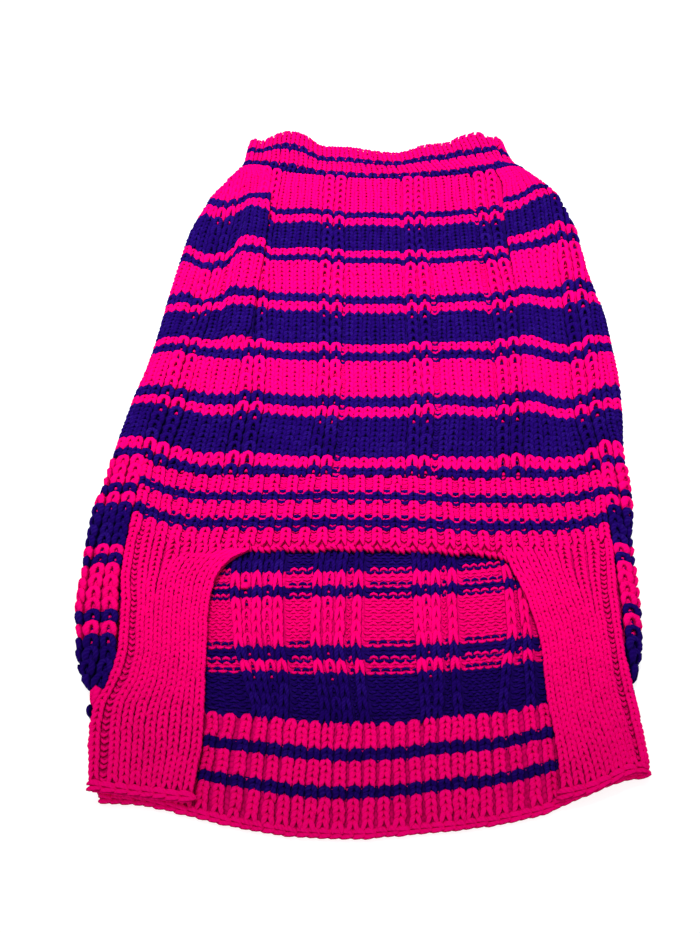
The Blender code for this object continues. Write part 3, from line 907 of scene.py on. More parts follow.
@dataclass(frozen=True)
class Fabric:
    """A piece's fabric, which stands for its solid."""

    node: str
    patches: tuple[Patch, ...]
    cut: tuple[float, float]
    slot: Slot = Slot.BODY
    held: Held = Held.LAID
    rests_on: tuple[str, ...] = ()

    def build(self, materials: Sequence[bpy.types.Material]) -> bpy.types.Object:
        """The fabric as a piece.

        Args:
            materials: one material for each yarn.

        Returns:
            The piece, which replaces the solid.
        """
        points, faces, yarns, uvs, count = [], [], [], [], 0
        for patch in self.patches:
            p, f, y, uv = patch.parts()
            points.append(p)
            faces.append(f + count)
            yarns.append(y)
            uvs.append(uv)
            count += len(p)
        obj = mesh_object(
            f"{self.node}_fabric",
            GARMENT.metres(np.concatenate(points)),
            np.concatenate(faces),
            np.concatenate(yarns),
            materials,
        )
        map_strands(obj.data, np.concatenate(uvs))
        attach(obj, "root")
        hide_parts(self.node)
        return obj

    def declare(self, obj: bpy.types.Object, stitches: Sequence[bpy.types.Object]) -> None:
        """Args:
            obj: the fabric.
            stitches: the stitches; not used.
        """
        layer = 0.5 * sum(face.area for face in obj.data.polygons)
        LOG.info("%s: cut %.0f x %.0f mm, %.0f cm2", obj.name, *self.cut, 1e4 * layer)
        list(self.rests_on)


def map_strands(mesh: bpy.types.Mesh, places: Array) -> None:
    """Stores a place along and round the yarn, or a column and row, for each point."""
    layer = mesh.uv_layers.new(name="strand")
    corners = np.empty(len(mesh.loops), np.int32)
    mesh.loops.foreach_get("vertex_index", corners)
    layer.data.foreach_set("uv", places[corners].astype(np.float32).ravel())


# Finishes

Socket = bpy.types.NodeSocket
Colour = tuple[float, float, float, float]
WHITE: Colour = (1.0, 1.0, 1.0, 1.0)


@dataclass(frozen=True)
class Graph:
    """A shader node tree, with short ways to add to it."""

    tree: bpy.types.NodeTree

    @staticmethod
    def group(name: str, numbers: dict[str, float]) -> tuple["Graph", bpy.types.Node, bpy.types.Node]:
        """An empty node group that takes three colours and gives a colour and a height.

        Args:
            name: the group's name.
            numbers: its number inputs, with their default values.

        Returns:
            The group, its input node and its output node.
        """
        tree = bpy.data.node_groups.new(name, "ShaderNodeTree")
        for label in ("Colour", "Deep", "Bright"):
            socket = tree.interface.new_socket(label, in_out="INPUT", socket_type="NodeSocketColor")
            socket.default_value = WHITE
        for label, value in numbers.items():
            socket = tree.interface.new_socket(label, in_out="INPUT", socket_type="NodeSocketFloat")
            socket.default_value = value
        tree.interface.new_socket("Colour", in_out="OUTPUT", socket_type="NodeSocketColor")
        tree.interface.new_socket("Height", in_out="OUTPUT", socket_type="NodeSocketFloat")
        return Graph(tree), tree.nodes.new("NodeGroupInput"), tree.nodes.new("NodeGroupOutput")

    def node(self, kind: str) -> bpy.types.Node:
        """Adds a node."""
        return self.tree.nodes.new(kind)

    def link(self, a: Socket, b: Socket) -> None:
        """Joins two sockets."""
        self.tree.links.new(a, b)

    def math(self, operation: str, *values: Socket | float, clamp: bool = False) -> Socket:
        """Adds a math node.

        Args:
            operation: the node's operation.
            values: its inputs, sockets or numbers.
            clamp: whether its result is held between 0 and 1.

        Returns:
            Its output.
        """
        node = self.node("ShaderNodeMath")
        node.operation = operation
        node.use_clamp = clamp
        for socket, value in zip(node.inputs, values):
            if isinstance(value, Socket):
                self.link(value, socket)
            else:
                socket.default_value = value
        return node.outputs[0]

    def mix(self, share: Socket, a: Socket, b: Socket) -> Socket:
        """The colour at a share of the way from a to b."""
        node = self.node("ShaderNodeMix")
        node.data_type = "RGBA"
        self.link(share, node.inputs["Factor"])
        self.link(a, node.inputs["A"])
        self.link(b, node.inputs["B"])
        return node.outputs["Result"]

    def noise(self, scale: float, detail: float) -> Socket:
        """A noise texture's value, in the piece's own space."""
        node = self.node("ShaderNodeTexNoise")
        node.inputs["Scale"].default_value = scale
        node.inputs["Detail"].default_value = detail
        place = self.node("ShaderNodeTexCoord").outputs["Object"]
        self.link(place, node.inputs["Vector"])
        return node.outputs[0]

    def strand_map(self) -> tuple[Socket, Socket]:
        """A point's place along and round its yarn, or its column and row in a fabric."""
        uv = self.node("ShaderNodeUVMap")
        uv.uv_map = "strand"
        parts = self.node("ShaderNodeSeparateXYZ")
        self.link(uv.outputs[0], parts.inputs[0])
        return parts.outputs["X"], parts.outputs["Y"]


@dataclass(frozen=True)
class SpunYarn:
    """Spun yarn: plies twisted round a strand, fibres, and a tone for each stitch.

    The fields that end in light say how much each effect lightens the yarn, and middle is the
    sum that leaves it as it was dyed. The plies' lightness is painted highlight on their crests
    and painted shade between them, the sides of each strand get painted shade towards the deep
    colour, and the tone is lowered by painted shade at the strands' thin ends.
    """

    twist: float = 0.34
    # ply_light: painted highlight on the plies' crests and painted shade between them.
    ply_light: float = 0.34
    tone_light: float = 0.30
    fibre_light: float = 0.42
    patch_light: float = 0.30
    middle: float = 0.66
    fibre_scale: float = 2600.0
    patch_scale: float = 55.0
    fibre_height: float = 0.45
    # How far round the strand the painted shade on its sides is full, and how dark it gets.
    flank_end: float = 2.5
    flank_depth: float = 1.5

    def group(self) -> bpy.types.NodeTree:
        """The node group, with the yarn's colour and its relief as outputs."""
        numbers = {"Ply Length": 2.4, "Contrast": 0.5, "Flank": 1.0}
        graph, source, sink = Graph.group("spun_yarn", numbers)
        along, around = graph.strand_map()
        turns = graph.math("DIVIDE", along, source.outputs["Ply Length"])
        twist = graph.math("ADD", turns, graph.math("MULTIPLY", around, self.twist))
        wave = graph.math("SINE", graph.math("MULTIPLY", twist, 2.0 * math.pi))
        plies = graph.math("MULTIPLY_ADD", wave, 0.5, 0.5)
        fibre = graph.noise(self.fibre_scale, 3.0)
        tone = graph.node("ShaderNodeAttribute")
        tone.attribute_name = "tone"
        # Painted highlight on the crests of the twisted plies, and painted shade in the grooves between
        # them.
        light = graph.math("MULTIPLY", plies, self.ply_light)
        for effect, share in (
            (tone.outputs["Fac"], self.tone_light),
            (fibre, self.fibre_light),
            (graph.noise(self.patch_scale, 2.0), self.patch_light),
        ):
            light = graph.math("MULTIPLY_ADD", effect, share, light)
        # Painted shade on the sides of each strand: past the angle round it that the flank input gives,
        # the yarn is darkened towards the deep colour.
        flank = graph.node("ShaderNodeMapRange")
        flank.interpolation_type = "SMOOTHSTEP"
        graph.link(graph.math("ABSOLUTE", around), flank.inputs["Value"])
        graph.link(source.outputs["Flank"], flank.inputs["From Min"])
        flank.inputs["From Max"].default_value = self.flank_end
        flank.inputs["To Max"].default_value = self.flank_depth
        light = graph.math("SUBTRACT", light, flank.outputs["Result"])
        centred = graph.math("SUBTRACT", light, self.middle)
        contrast = source.outputs["Contrast"]
        up = graph.math("MULTIPLY", centred, contrast, clamp=True)
        down = graph.math("MULTIPLY", graph.math("MULTIPLY", centred, -1.0), contrast, clamp=True)
        lighter = graph.mix(up, source.outputs["Colour"], source.outputs["Bright"])
        graph.link(graph.mix(down, lighter, source.outputs["Deep"]), sink.inputs["Colour"])
        graph.link(graph.math("MULTIPLY_ADD", fibre, self.fibre_height, plies), sink.inputs["Height"])
        return graph.tree


@dataclass(frozen=True)
class KnitCloth:
    """Knitted fabric seen from afar: rows of small slanting legs, from a column and row map, with
    painted shade between the legs.
    """

    plumpness: float = 0.6
    # How much lighter the legs' middles are than the painted shade between them.
    leg_light: float = 0.8
    fibre_light: float = 0.25
    glow: float = 0.25
    fibre_scale: float = 1500.0
    glow_scale: float = 70.0
    fibre_height: float = 0.2

    def group(self) -> bpy.types.NodeTree:
        """The node group, with the fabric's colour and its relief as outputs."""
        graph, source, sink = Graph.group("knit_fabric", {"Slant": 0.6})
        column, row = graph.strand_map()
        away = graph.math("ABSOLUTE", graph.math("SUBTRACT", graph.math("FRACT", column), 0.5))
        slanted = graph.math("FRACT", graph.math("MULTIPLY_ADD", away, source.outputs["Slant"], row))
        rowwise = graph.math("SINE", graph.math("MULTIPLY", slanted, math.pi))
        legwise = graph.math("SINE", graph.math("MULTIPLY", away, 2.0 * math.pi))
        plump = graph.math("POWER", graph.math("MULTIPLY", rowwise, legwise), self.plumpness)
        fibre = graph.noise(self.fibre_scale, 3.0)
        # Painted shade: the colour runs from the deep colour between the legs to the yarn's own colour
        # on their middles.
        legs = graph.math("MULTIPLY", plump, self.leg_light)
        light = graph.math("MULTIPLY_ADD", fibre, self.fibre_light, legs, clamp=True)
        shaded = graph.mix(light, source.outputs["Deep"], source.outputs["Colour"])
        glow = graph.math("MULTIPLY", graph.noise(self.glow_scale, 2.0), self.glow)
        graph.link(graph.mix(glow, shaded, source.outputs["Bright"]), sink.inputs["Colour"])
        graph.link(graph.math("MULTIPLY_ADD", fibre, self.fibre_height, plump), sink.inputs["Height"])
        return graph.tree


@dataclass(frozen=True)
class YarnFinish:
    """A dyed wool yarn."""

    name: str
    colour: Colour
    deep: Colour
    bright: Colour
    sheen: float
    sheen_tint: Colour
    sheen_roughness: float = 0.5
    roughness: float = 0.82
    gloss: float = 0.0
    ply_length: float = 2.4
    contrast: float = 0.9
    # Angle round the strand where the painted shade on its sides begins.
    flank: float = 0.9
    relief: float = 0.28
    relief_depth: float = 0.0005

    def material(self, group: bpy.types.NodeTree, suffix: str) -> bpy.types.Material:
        """The material.

        Args:
            group: the node group that gives its colour and relief.
            suffix: what the material's name ends in.

        Returns:
            The material.
        """
        made = bpy.data.materials.new(f"{self.name}_{suffix}")
        made.use_nodes = True
        graph = Graph(made.node_tree)
        shader = made.node_tree.nodes["Principled BSDF"]
        node = graph.node("ShaderNodeGroup")
        node.node_tree = group
        bump = graph.node("ShaderNodeBump")
        for target, values in (
            (node, {"Colour": self.colour, "Deep": self.deep, "Bright": self.bright}),
            (node, {"Contrast": self.contrast, "Ply Length": self.ply_length, "Flank": self.flank}),
            (bump, {"Strength": self.relief, "Distance": self.relief_depth}),
            (shader, {"Roughness": self.roughness, "Metallic": 0.0, "Specular IOR Level": self.gloss}),
            (shader, {"Sheen Weight": self.sheen, "Sheen Roughness": self.sheen_roughness}),
            (shader, {"Sheen Tint": self.sheen_tint}),
        ):
            for label, value in values.items():
                if label in target.inputs:
                    target.inputs[label].default_value = value
        graph.link(node.outputs["Height"], bump.inputs["Height"])
        graph.link(node.outputs["Colour"], shader.inputs["Base Color"])
        graph.link(bump.outputs["Normal"], shader.inputs["Normal"])
        return made


# In both yarns the deep colour is painted shade, on strand sides and ends and between the fabric's
# legs, as well as the darker side of the random tone; the bright colour is painted highlight on the
# plies as well as the lighter side of the random tone.
HOT_PINK = YarnFinish(
    name="hot_pink_yarn",
    colour=(0.96, 0.0004, 0.172, 1),
    deep=(0.38, 0.0002, 0.052, 1),
    bright=(1, 0.001, 0.225, 1),
    sheen=0.0,
    sheen_tint=(1, 0.1, 0.45, 1),
)
DEEP_PURPLE = YarnFinish(
    name="deep_purple_yarn",
    colour=(0.0112, 0.0012, 0.106, 1),
    deep=(0.0024, 0.0002, 0.027, 1),
    bright=(0.036, 0.012, 0.24, 1),
    sheen=0.03,
    sheen_tint=(0.25, 0.22, 1, 1),
)


@dataclass(frozen=True)
class Finishes:
    """Every material of the garment: for strands and for fabric, one for each yarn."""

    strands: tuple[bpy.types.Material, ...]
    fabric: tuple[bpy.types.Material, ...]

    @staticmethod
    def made() -> "Finishes":
        """Builds the two node groups and the materials."""
        strand, fabric = SpunYarn().group(), KnitCloth().group()
        pair = (HOT_PINK, DEEP_PURPLE)
        return Finishes(
            tuple(finish.material(strand, "strand") for finish in pair),
            tuple(finish.material(fabric, "fabric") for finish in pair),
        )


# How the rows and columns lie

FRONT_ROWS = Rows.of(
    555, (Stripe(PINK, 4, 541.9), Stripe(PURPLE, 2, 535.6), Stripe(PINK, 4, 524.4),
    Stripe(PURPLE, 2, 518), Stripe(PINK, 12, 472.4), Stripe(PURPLE, 2, 465.5),
    Stripe(PINK, 2, 456.5), Stripe(PURPLE, 8, 425.5), Stripe(PINK, 2, 418),
    Stripe(PURPLE, 2, 411.1), Stripe(PINK, 8, 375.8), Stripe(PURPLE, 2, 367.3),
    Stripe(PINK, 2, 358.4), Stripe(PURPLE, 8, 326.3), Stripe(PINK, 2, 319),
    Stripe(PURPLE, 2, 310.4), Stripe(PINK, 8, 278.4), Stripe(PURPLE, 2, 268.7),
    Stripe(PINK, 2, 260.6), Stripe(PURPLE, 8, 227.1), Stripe(PINK, 2, 219.2),
    Stripe(PURPLE, 2, 213), Stripe(PINK, 4, 200.4), Stripe(PURPLE, 2, 194.1),
    Stripe(PINK, 4, 181.7), Stripe(PURPLE, 2, 174.5), Stripe(PINK, 3, 163.4)),
)
BACK_ROWS = Rows.of(
    179.7, (Stripe(PURPLE, 8, 147.7), Stripe(PINK, 2, 138.4), Stripe(PURPLE, 2, 131.3),
    Stripe(PINK, 8, 101.1), Stripe(PURPLE, 2, 92.2), Stripe(PINK, 2, 85), Stripe(PURPLE, 8, 56.5),
    Stripe(PINK, 4, 43.4), Stripe(PURPLE, 2, 37), Stripe(PINK, 4, 24.3), Stripe(PURPLE, 2, 18.4),
    Stripe(PINK, 4, 4.6)),
)
STRIP_ROWS = Rows.of(
    233.7, (Stripe(PINK, 8, 204.7), Stripe(PURPLE, 2, 198.7), Stripe(PINK, 2, 190.5),
    Stripe(PURPLE, 8, 160.6), Stripe(PINK, 2, 154.4), Stripe(PURPLE, 2, 147.7),
    Stripe(PINK, 8, 118), Stripe(PURPLE, 2, 111.2), Stripe(PINK, 2, 103.4), Stripe(PURPLE, 8, 73.3),
    Stripe(PINK, 2, 65), Stripe(PURPLE, 2, 59)),
)

BODY_ROWS = FRONT_ROWS.between(213.0, 517.5)
NECK_ROWS = FRONT_ROWS.between(517.9, 560.0)

RIB_BOW = Curve(
    ((-160, 15), (-148, 12), (-135, 7), (-121, 2.5), (-105, 0.0), (-60, 0.0), (0.0, 0.0),
    (62, -2.5), (100, -2.5), (121, -1), (140, 3), (152, 6)),
)
CENTRE_BOW = bow_table(
    (-100, -85, -62, -40, 0.0, 42, 68, 86, 96),
    ((213, 0.0, 0.0, 0.0, 0.0, 0.0, -1.5, -2.5, -2.5, -2.5),
    (227.1, 4.5, 4, 1.5, 0.5, 0.0, 1, 0.0, 2, 3), (278.4, 2.5, 3.5, 1.5, 0.5, 0.0, 2, -0.5, 2.5, 5),
    (326.3, 4, 4, 1, 0.5, 0.0, 2, 1.5, 5, 7), (375.8, 7, 5, 2.5, 0.5, 0.0, 1, 2, 3, 6),
    (425.5, 6, 4, 3.5, 1.5, 0.0, 0.5, 2, 4, 7), (472.4, 8, 5.5, 5, 1.5, 0.0, 2, 4, 8, 12),
    (517, 12.8, 9.2, 4.9, 2, 0.0, 2.3, 5.9, 9.4, 11.8)),
)
LEFT_BOW = bow_table(
    (-160, -150, -142, -135, -127, -119, -111, -103, -96, -88),
    ((213, 15, 12.5, 9.7, 7.2, 4.7, 2.7, 0.9, 0.4, 0.0, 0.0),
    (227.1, 16, 15, 13, 11.2, 9, 6.3, 4, 4, 4, 4), (260.6, 11, 10, 8.8, 7.7, 6.2, 3.9, 2, 2, 2, 3),
    (278.4, 9, 8, 7.2, 6.4, 5.4, 3.9, 2.5, 2.5, 2.5, 3.5),
    (310.4, 6, 6, 6, 6, 5.5, 4.2, 3, 2.4, 2.1, 3.5),
    (326.3, 4, 4, 4.2, 4.4, 4.7, 5.1, 5.4, 4.9, 4.5, 5),
    (358.4, 0.0, -1, -0.6, -0.3, 0.5, 0.3, 4.9, 3, 2.8, 2.9), (367.3, -1.4, -1.9, -1.6, -1.8, 0.0,
    0.0, 5.2, 2.5, 2.6, 2.3), (375.8, 0.6, 0.6, 1, -2.7, -4.5, -1.1, 7.7, 3.4, 3.9, 3.2),
    (411.1, 2, 0.4, -5.5, -8, -5.5, -4.5, 7.2, 6.4, 5.6, 3.8),
    (418, 5, 3.6, -4.4, -7.6, -2.5, -1.9, 8.8, 8, 7.3, 5.4), (425.5, 6, 4.6, -3.3, -6.8, -1.2, 1.1,
    12.2, 11.2, 10.2, 8.4), (456.5, 12, 11, 14.2, 7, 8.3, 15.8, 20.5, 15.9, 14.1, 11.4), (465.5,
    18.2, 17.2, 16.8, 12.4, 8.7, 15.7, 21.7, 19, 17.6, 15),
    (472.4, 23, 22, 20, 16, 10.3, 17, 25.4, 26.5, 25.7, 23), (517, 30, 28.7, 25.9, 23.4, 20.7, 18.2,
    15.7, 13.6, 11.7, 9.9)),
)
RIGHT_BOW = bow_table(
    (95, 104, 122, 135, 148, 160), ((213, -2.5, -2.5, -1, 2, 5, 7), (227.1, 2, 0.0, 0.5, 6, 13, 11),
    (260.6, 5.5, 4, -1, 1, 5, 8), (278.4, 6, 5, -1.5, 0.0, 6, 11), (310.4, 7, 6, 0.0, 0.0, 5, 9),
    (326.3, 8, 8, 1.5, 0.0, 5, 9), (358.4, 8, 9, 6, 7.5, 8, 10), (375.8, 7.5, 9.5, 9, 13, 14, 19),
    (411.1, 13, 15, 19, 24, 24, 26), (425.5, 16, 19, 26, 33, 29, 28),
    (456.5, 17, 20, 33, 39, 37, 37), (472.4, 19, 22, 34, 41, 41, 41),
    (517, 11.5, 13.8, 19, 23.2, 28, 32)),
)
ZONE_BOWS = {Opening.CENTRE: CENTRE_BOW, Opening.LEFT: LEFT_BOW, Opening.RIGHT: RIGHT_BOW}
HEM_BOW = bow_table(
    (-134, -118, -103, -88, -76, -60, -44, -30, -15, 0.0, 14, 30, 44, 57, 66, 74, 84, 91, 104, 118,
    128, 142), ((1.6, 18.1, 16.8, 14.4, 11.4, 8.5, 4.8, 1.8, 0.6, -0.5, 0.0, 1.2, 3.2, 4.6, 6, 7.7,
    9.2, 12, 14.2, 19.8, 25.6, 28.6, 30.1), (56.5, 13, 10.5, 8.2, 6.2, 4.5, 3.7, 2, 0.5, 0.0, 0.0,
    0.3, 2.2, 3.5, 4.2, 5.2, 6.8, 9.2, 10, 11.5, 13, 14, 15)),
)
RIB_MIDDLES = Curve(
    ((-1, -153), (0.0, -143.4), (1, -134.4), (2, -127), (4, -107.8), (6, -91.8), (8, -73.4),
    (12, -32), (16, 11.5), (20, 53), (25, 99.5), (29, 134.6), (30, 143)),
)
STRAP_LEFT_OUTER = Curve(
    ((12, -134.6), (24, -138.8), (40, -143), (54, -145.2), (61, -144.9), (68, -141.8), (75, -139.6),
    (84, -138.7), (90, -138.7), (97, -139.8), (104, -141.4), (118, -143.5), (132, -146),
    (146, -147), (160, -147.4), (180, -148)),
)
STRAP_LEFT_INNER = Curve(
    ((12, -86), (24, -85.6), (40, -85), (56, -86), (66, -87), (80, -88.5), (98, -90), (122, -92),
    (136, -91.5), (147, -88), (154, -82), (160, -73), (180, -73)),
)
STRAP_RIGHT_INNER = Curve(
    ((12, 94), (24, 94), (40, 94), (56, 93), (66, 92), (80, 91.5), (98, 91), (122, 86.5), (136, 82),
    (147, 77.5), (154, 75), (160, 72), (180, 72)),
)
STRAP_RIGHT_OUTER = Curve(
    ((12, 139.6), (24, 139.4), (40, 138.9), (56, 138.2), (66, 137.5), (80, 136.6), (98, 136.6),
    (122, 137.2), (136, 137.6), (147, 137.8), (154, 138), (160, 138), (180, 138.5)),
)
LEFT_FOOT = Curve(((0.0, 18.8), (0.5, 16.4), (1.0, 13.9)))
RIGHT_FOOT = Curve(
    ((0.0, 27.4), (0.1, 28.2), (0.3, 27.4), (0.55, 23), (0.8, 18.2), (1, 15.4)),
)
RIGHT_STRIP_LEVELS = Curve(((60.0, 8.0), (104.0, 5.0), (161.0, 0.5), (234.0, -7.0)))


def wander(x: Array, level: Array, seed: float) -> Array:
    """A slow unevenness of hand knitting, in millimetres."""
    one = np.sin(level / 17.0 + 0.11 * x + seed) + 0.6 * np.sin(level / 7.3 - 0.23 * x + 2.0 * seed)
    return 0.32 * one + 0.4 * np.sin(x / 21.0 + level / 53.0 + 3.0 * seed)


def level_ground(x: Array, level: Array) -> tuple[Array, Array]:
    """x and s where the rows lie straight across."""
    return x, level


def zone_ground(opening: Opening, uneven: float = 1.0) -> Ground:
    """How the rows and columns of one zone of the belly side lie.

    Args:
        opening: the zone.
        uneven: how much of the unevenness of hand knitting they have.

    Returns:
        A function from a place across and a level to x and s.
    """

    def ground(x: Array, level: Array) -> tuple[Array, Array]:
        """x and s of a place on the zone's knitting."""
        bow = RIB_BOW(x) if opening is Opening.RIB else ZONE_BOWS[opening](x, level)
        return x + uneven * wander(x, level, 0.0), level + bow

    return ground


def zone_skin(opening: Opening, sink: float = 0.0) -> Skin:
    """The belly side's surface in one zone.

    Args:
        opening: the zone.
        sink: how far under the outer face the yarn's middle line lies.

    Returns:
        A function from x, s and a height to points.
    """

    def skin(x: Array, s: Array, out: Array) -> Array:
        """Points on the zone."""
        rise = GARMENT.opening_rise(x, s - GARMENT.slit_bow, opening)
        return GARMENT.belly_skin(x, s, out - sink + rise)

    return skin


def back_skin(sink: float) -> Skin:
    """The back's inner face, sunk by how far under it the yarn's middle line lies."""

    def skin(x: Array, s: Array, out: Array) -> Array:
        """Points on the face."""
        return GARMENT.floor_skin(x, s, out - sink)

    return skin


def folded_skin(opening: Opening, back_out: float = 0.3) -> Skin:
    """The belly side's surface in one zone, for fabric that runs round the fold to the back.

    Args:
        opening: the zone.
        back_out: height over the outer face where the fold reaches the back.

    Returns:
        A function from x, s and a height to points. Round the fold the height eases to half.
    """
    skin = zone_skin(opening)

    def turned(x: Array, s: Array, out: Array) -> Array:
        """Points on the skin."""
        end = GARMENT.fold_round - GARMENT.fold_arc
        share = ramp(GARMENT.inside(x, s), GARMENT.fold_round, end)
        return skin(x, s, mix(out, out * 0.5 + back_out, share))

    return turned


def between_limits(left: Limit, right: Limit, ground: Ground) -> Ground:
    """Turns a share of the way between two limits, and a level, into x and s."""

    def place(share: Array, level: Array) -> tuple[Array, Array]:
        """x and s at a share of the way."""
        return ground(mix(left(level), right(level), share), level)

    return place


@dataclass(frozen=True)
class Gap:
    """The stretch between two curves, shared out among columns of one width.

    margin is kept free at both ends.
    """

    left: Curve
    right: Curve
    count: int = 1
    margin: float = 0.0

    def centre(self, column: Array, level: Array) -> Array:
        """The middle of a column at each level."""
        share = (column + 0.5) / self.count
        return mix(self.left(level) + self.margin, self.right(level) - self.margin, share)

    def width(self, column: Array, level: Array) -> Array:
        """The width of a column at each level."""
        return (self.right(level) - self.left(level) - 2.0 * self.margin) / self.count


@dataclass(frozen=True)
class Run:
    """Neighbouring columns of one kind, as wide as each other at any level.

    edges gives the left and right limit of the run at each level, from the lowest level up.
    """

    count: int
    kind: Kind
    edges: tuple[tuple[float, float, float], ...]

    def limits(self, level: Array) -> tuple[Array, Array]:
        """The run's left and right limit at each level."""
        levels, left, right = zip(*self.edges)
        return np.interp(level, levels, left), np.interp(level, levels, right)

    def centre(self, column: Array, level: Array) -> Array:
        """The middle of a column at each level."""
        return mix(*self.limits(level), (column + 0.5) / self.count)

    def width(self, column: Array, level: Array) -> Array:
        """The width of a column at each level."""
        left, right = self.limits(level)
        return np.abs(right - left) / self.count

    def valley(self, step: int) -> Spacing:
        """The middle line of the purl valley beside a column."""

        def middle(column: Array, level: Array) -> Array:
            """The valley's place at each level."""
            return mix(*self.limits(level), step / self.count)

        return middle


BELLY_RUNS = (
    Run(2, Kind.CHUNKY, ((213, -97, -77), (227, -96.1, -77.2), (267, -94.3, -76.7),
        (365, -99.5, -82.8), (405, -103, -86.2), (517, -103, -86))),
    Run(6, Kind.PLAIN, ((213, -77, -46), (227, -77, -45), (267, -76.4, -41.8), (365, -82.5, -47),
        (405, -86, -49), (422, -86, -49.5), (517, -86, -52))),
    Run(2, Kind.CHUNKY, ((213, -45.5, -28.5), (227, -44.6, -27.6), (267, -41.2, -26),
        (365, -46.5, -27.9), (405, -48.4, -29.7), (422, -48.6, -30.3), (517, -51.5, -33))),
    Run(1, Kind.PURL, ((213, -28.5, -22.9), (267, -26.4, -22.4), (365, -28.2, -26))),
    Run(7, Kind.PLAIN, ((213, -23.2, 16.2), (227, -23.4, 16.8), (267, -22.8, 19.2),
        (365, -26.4, 14.8), (405, -29.5, 12.8), (422, -30, 11.6), (517, -33, 11.5))),
    Run(2, Kind.CHUNKY, ((213, 17, 33.8), (227, 17.4, 34.1), (267, 19.6, 35.6), (365, 15.8, 35),
        (405, 14.6, 33.5), (422, 14.4, 32.6), (517, 13, 31))),
    Run(1, Kind.PURL, ((213, 33.6, 37.6), (267, 35, 40.2), (365, 34.8, 39.1), (380, 34, 37))),
    Run(6, Kind.PLAIN, ((213, 37.4, 71.6), (227, 37.7, 72.1), (267, 40.3, 76.1), (365, 38.9, 75),
        (405, 35.1, 72.1), (422, 34, 71.1), (517, 31.2, 69))),
    Run(1, Kind.PURL, ((300, 75.4, 77), (365, 74.8, 79.5), (405, 72, 76.4), (422, 71, 74.2))),
    Run(2, Kind.CHUNKY, ((213, 72.4, 91.4), (227, 72.6, 91.3), (267, 76.7, 94.8), (365, 79.1, 97.9),
        (405, 76, 95.2), (422, 73.8, 93), (517, 70, 90))),
)
LEFT_RUNS = (
    Run(5, Kind.PLAIN, ((213, -97.4, -131), (262, -96, -127), (320, -97, -125.5),
        (335, -91.4, -123.5), (441, -90.6, -120), (500, -92.5, -117), (517, -101, -119))),
    Run(2, Kind.CHUNKY, ((213, -131.4, -150), (262, -127.6, -146.5), (335, -124, -139.5),
        (441, -120.3, -135), (500, -117, -130), (517, -119, -130))),
    Run(5, Kind.PLAIN, ((213, -150.4, -179), (262, -147, -175.5), (335, -139.7, -168.5),
        (441, -135.2, -162.5), (500, -130, -150), (517, -130, -145))),
)
RIGHT_RUNS = (
    Run(6, Kind.PLAIN, ((213, 91.8, 129), (227, 92, 128.6), (262, 95.2, 127), (335, 98, 129),
        (365, 98.6, 129.6), (405, 95.8, 130.4), (454, 94, 131), (500, 95, 122), (517, 90, 116))),
    Run(2, Kind.CHUNKY, ((213, 129.6, 148.6), (262, 127.4, 146), (335, 129.4, 148),
        (454, 131.2, 149.5), (500, 122, 136), (517, 116, 128))),
    Run(4, Kind.PLAIN, ((213, 149, 172), (262, 146.2, 172), (335, 148.2, 172), (454, 149.8, 168),
        (500, 136, 152), (517, 128, 142))),
)


# The pieces


class Piece:
    """A piece that a maker would knit: its fabric, and the stitches that lie on it."""

    def fabric(self) -> Fabric:
        """The piece's fabric."""
        raise NotImplementedError

    def stitches(self, into: YarnMesh) -> None:
        """Lays the stitches that show into a mesh. A piece of fabric alone has none."""

    def build(self, finishes: Finishes, seed: int) -> int:
        """Args:
            finishes: the materials.
            seed: seed of the piece's own random numbers.

        Returns:
            How many triangles its stitches have.
        """
        fabric = self.fabric()
        base = fabric.build(finishes.fabric)
        mesh = YarnMesh(f"{fabric.node}_stitches", seed)
        self.stitches(mesh)
        if mesh.count == 0:
            fabric.declare(base, [])
            return 0
        laid = mesh.build(finishes.strands)
        fabric.declare(base, [laid])
        many = 2 * sum(len(faces) for faces in mesh.faces)
        LOG.info("%s: %d triangles", mesh.name, many)
        return many


@dataclass(frozen=True)
class KnitZone:
    """A zone of the belly side: plain columns and chunky slipped columns over the same rows."""

    opening: Opening
    runs: tuple[Run, ...]
    half_thick: float = 1.45
    chunky_half_thick: float = 1.75
    chunky_lift: float = 0.55
    purl_half_thick: float = 1.1
    purl_lift: float = -0.9
    valley_width: float = 2.6
    valley_lift: float = -0.2
    sink: float = 0.75

    def stitches(self, into: YarnMesh) -> None:
        """Lays the zone's stitches into a mesh."""
        ground, skin = zone_ground(self.opening), zone_skin(self.opening, self.sink)
        for run in self.runs:
            rows = BODY_ROWS.paired() if run.kind is Kind.CHUNKY else BODY_ROWS
            cells = Cells.grid(rows, run.count, run.centre, run.width)
            if run.kind is Kind.PLAIN:
                into.knit(cells, KNIT, ground, skin, self.half_thick)
            elif run.kind is Kind.PURL:
                thick, lift = self.purl_half_thick, self.purl_lift
                into.knit(cells, RIB_PURL, ground, skin, thick, lift=lift, unevenness=0.3)
            else:
                into.slip(cells, ground, skin, self.chunky_half_thick, self.chunky_lift)
                for step in range(run.count + 1):
                    valley = Cells.grid(BODY_ROWS, 1, run.valley(step), steady(self.valley_width))
                    bars = (VALLEY_BAR,)
                    into.knit(valley, bars, ground, skin, self.half_thick, lift=self.valley_lift)


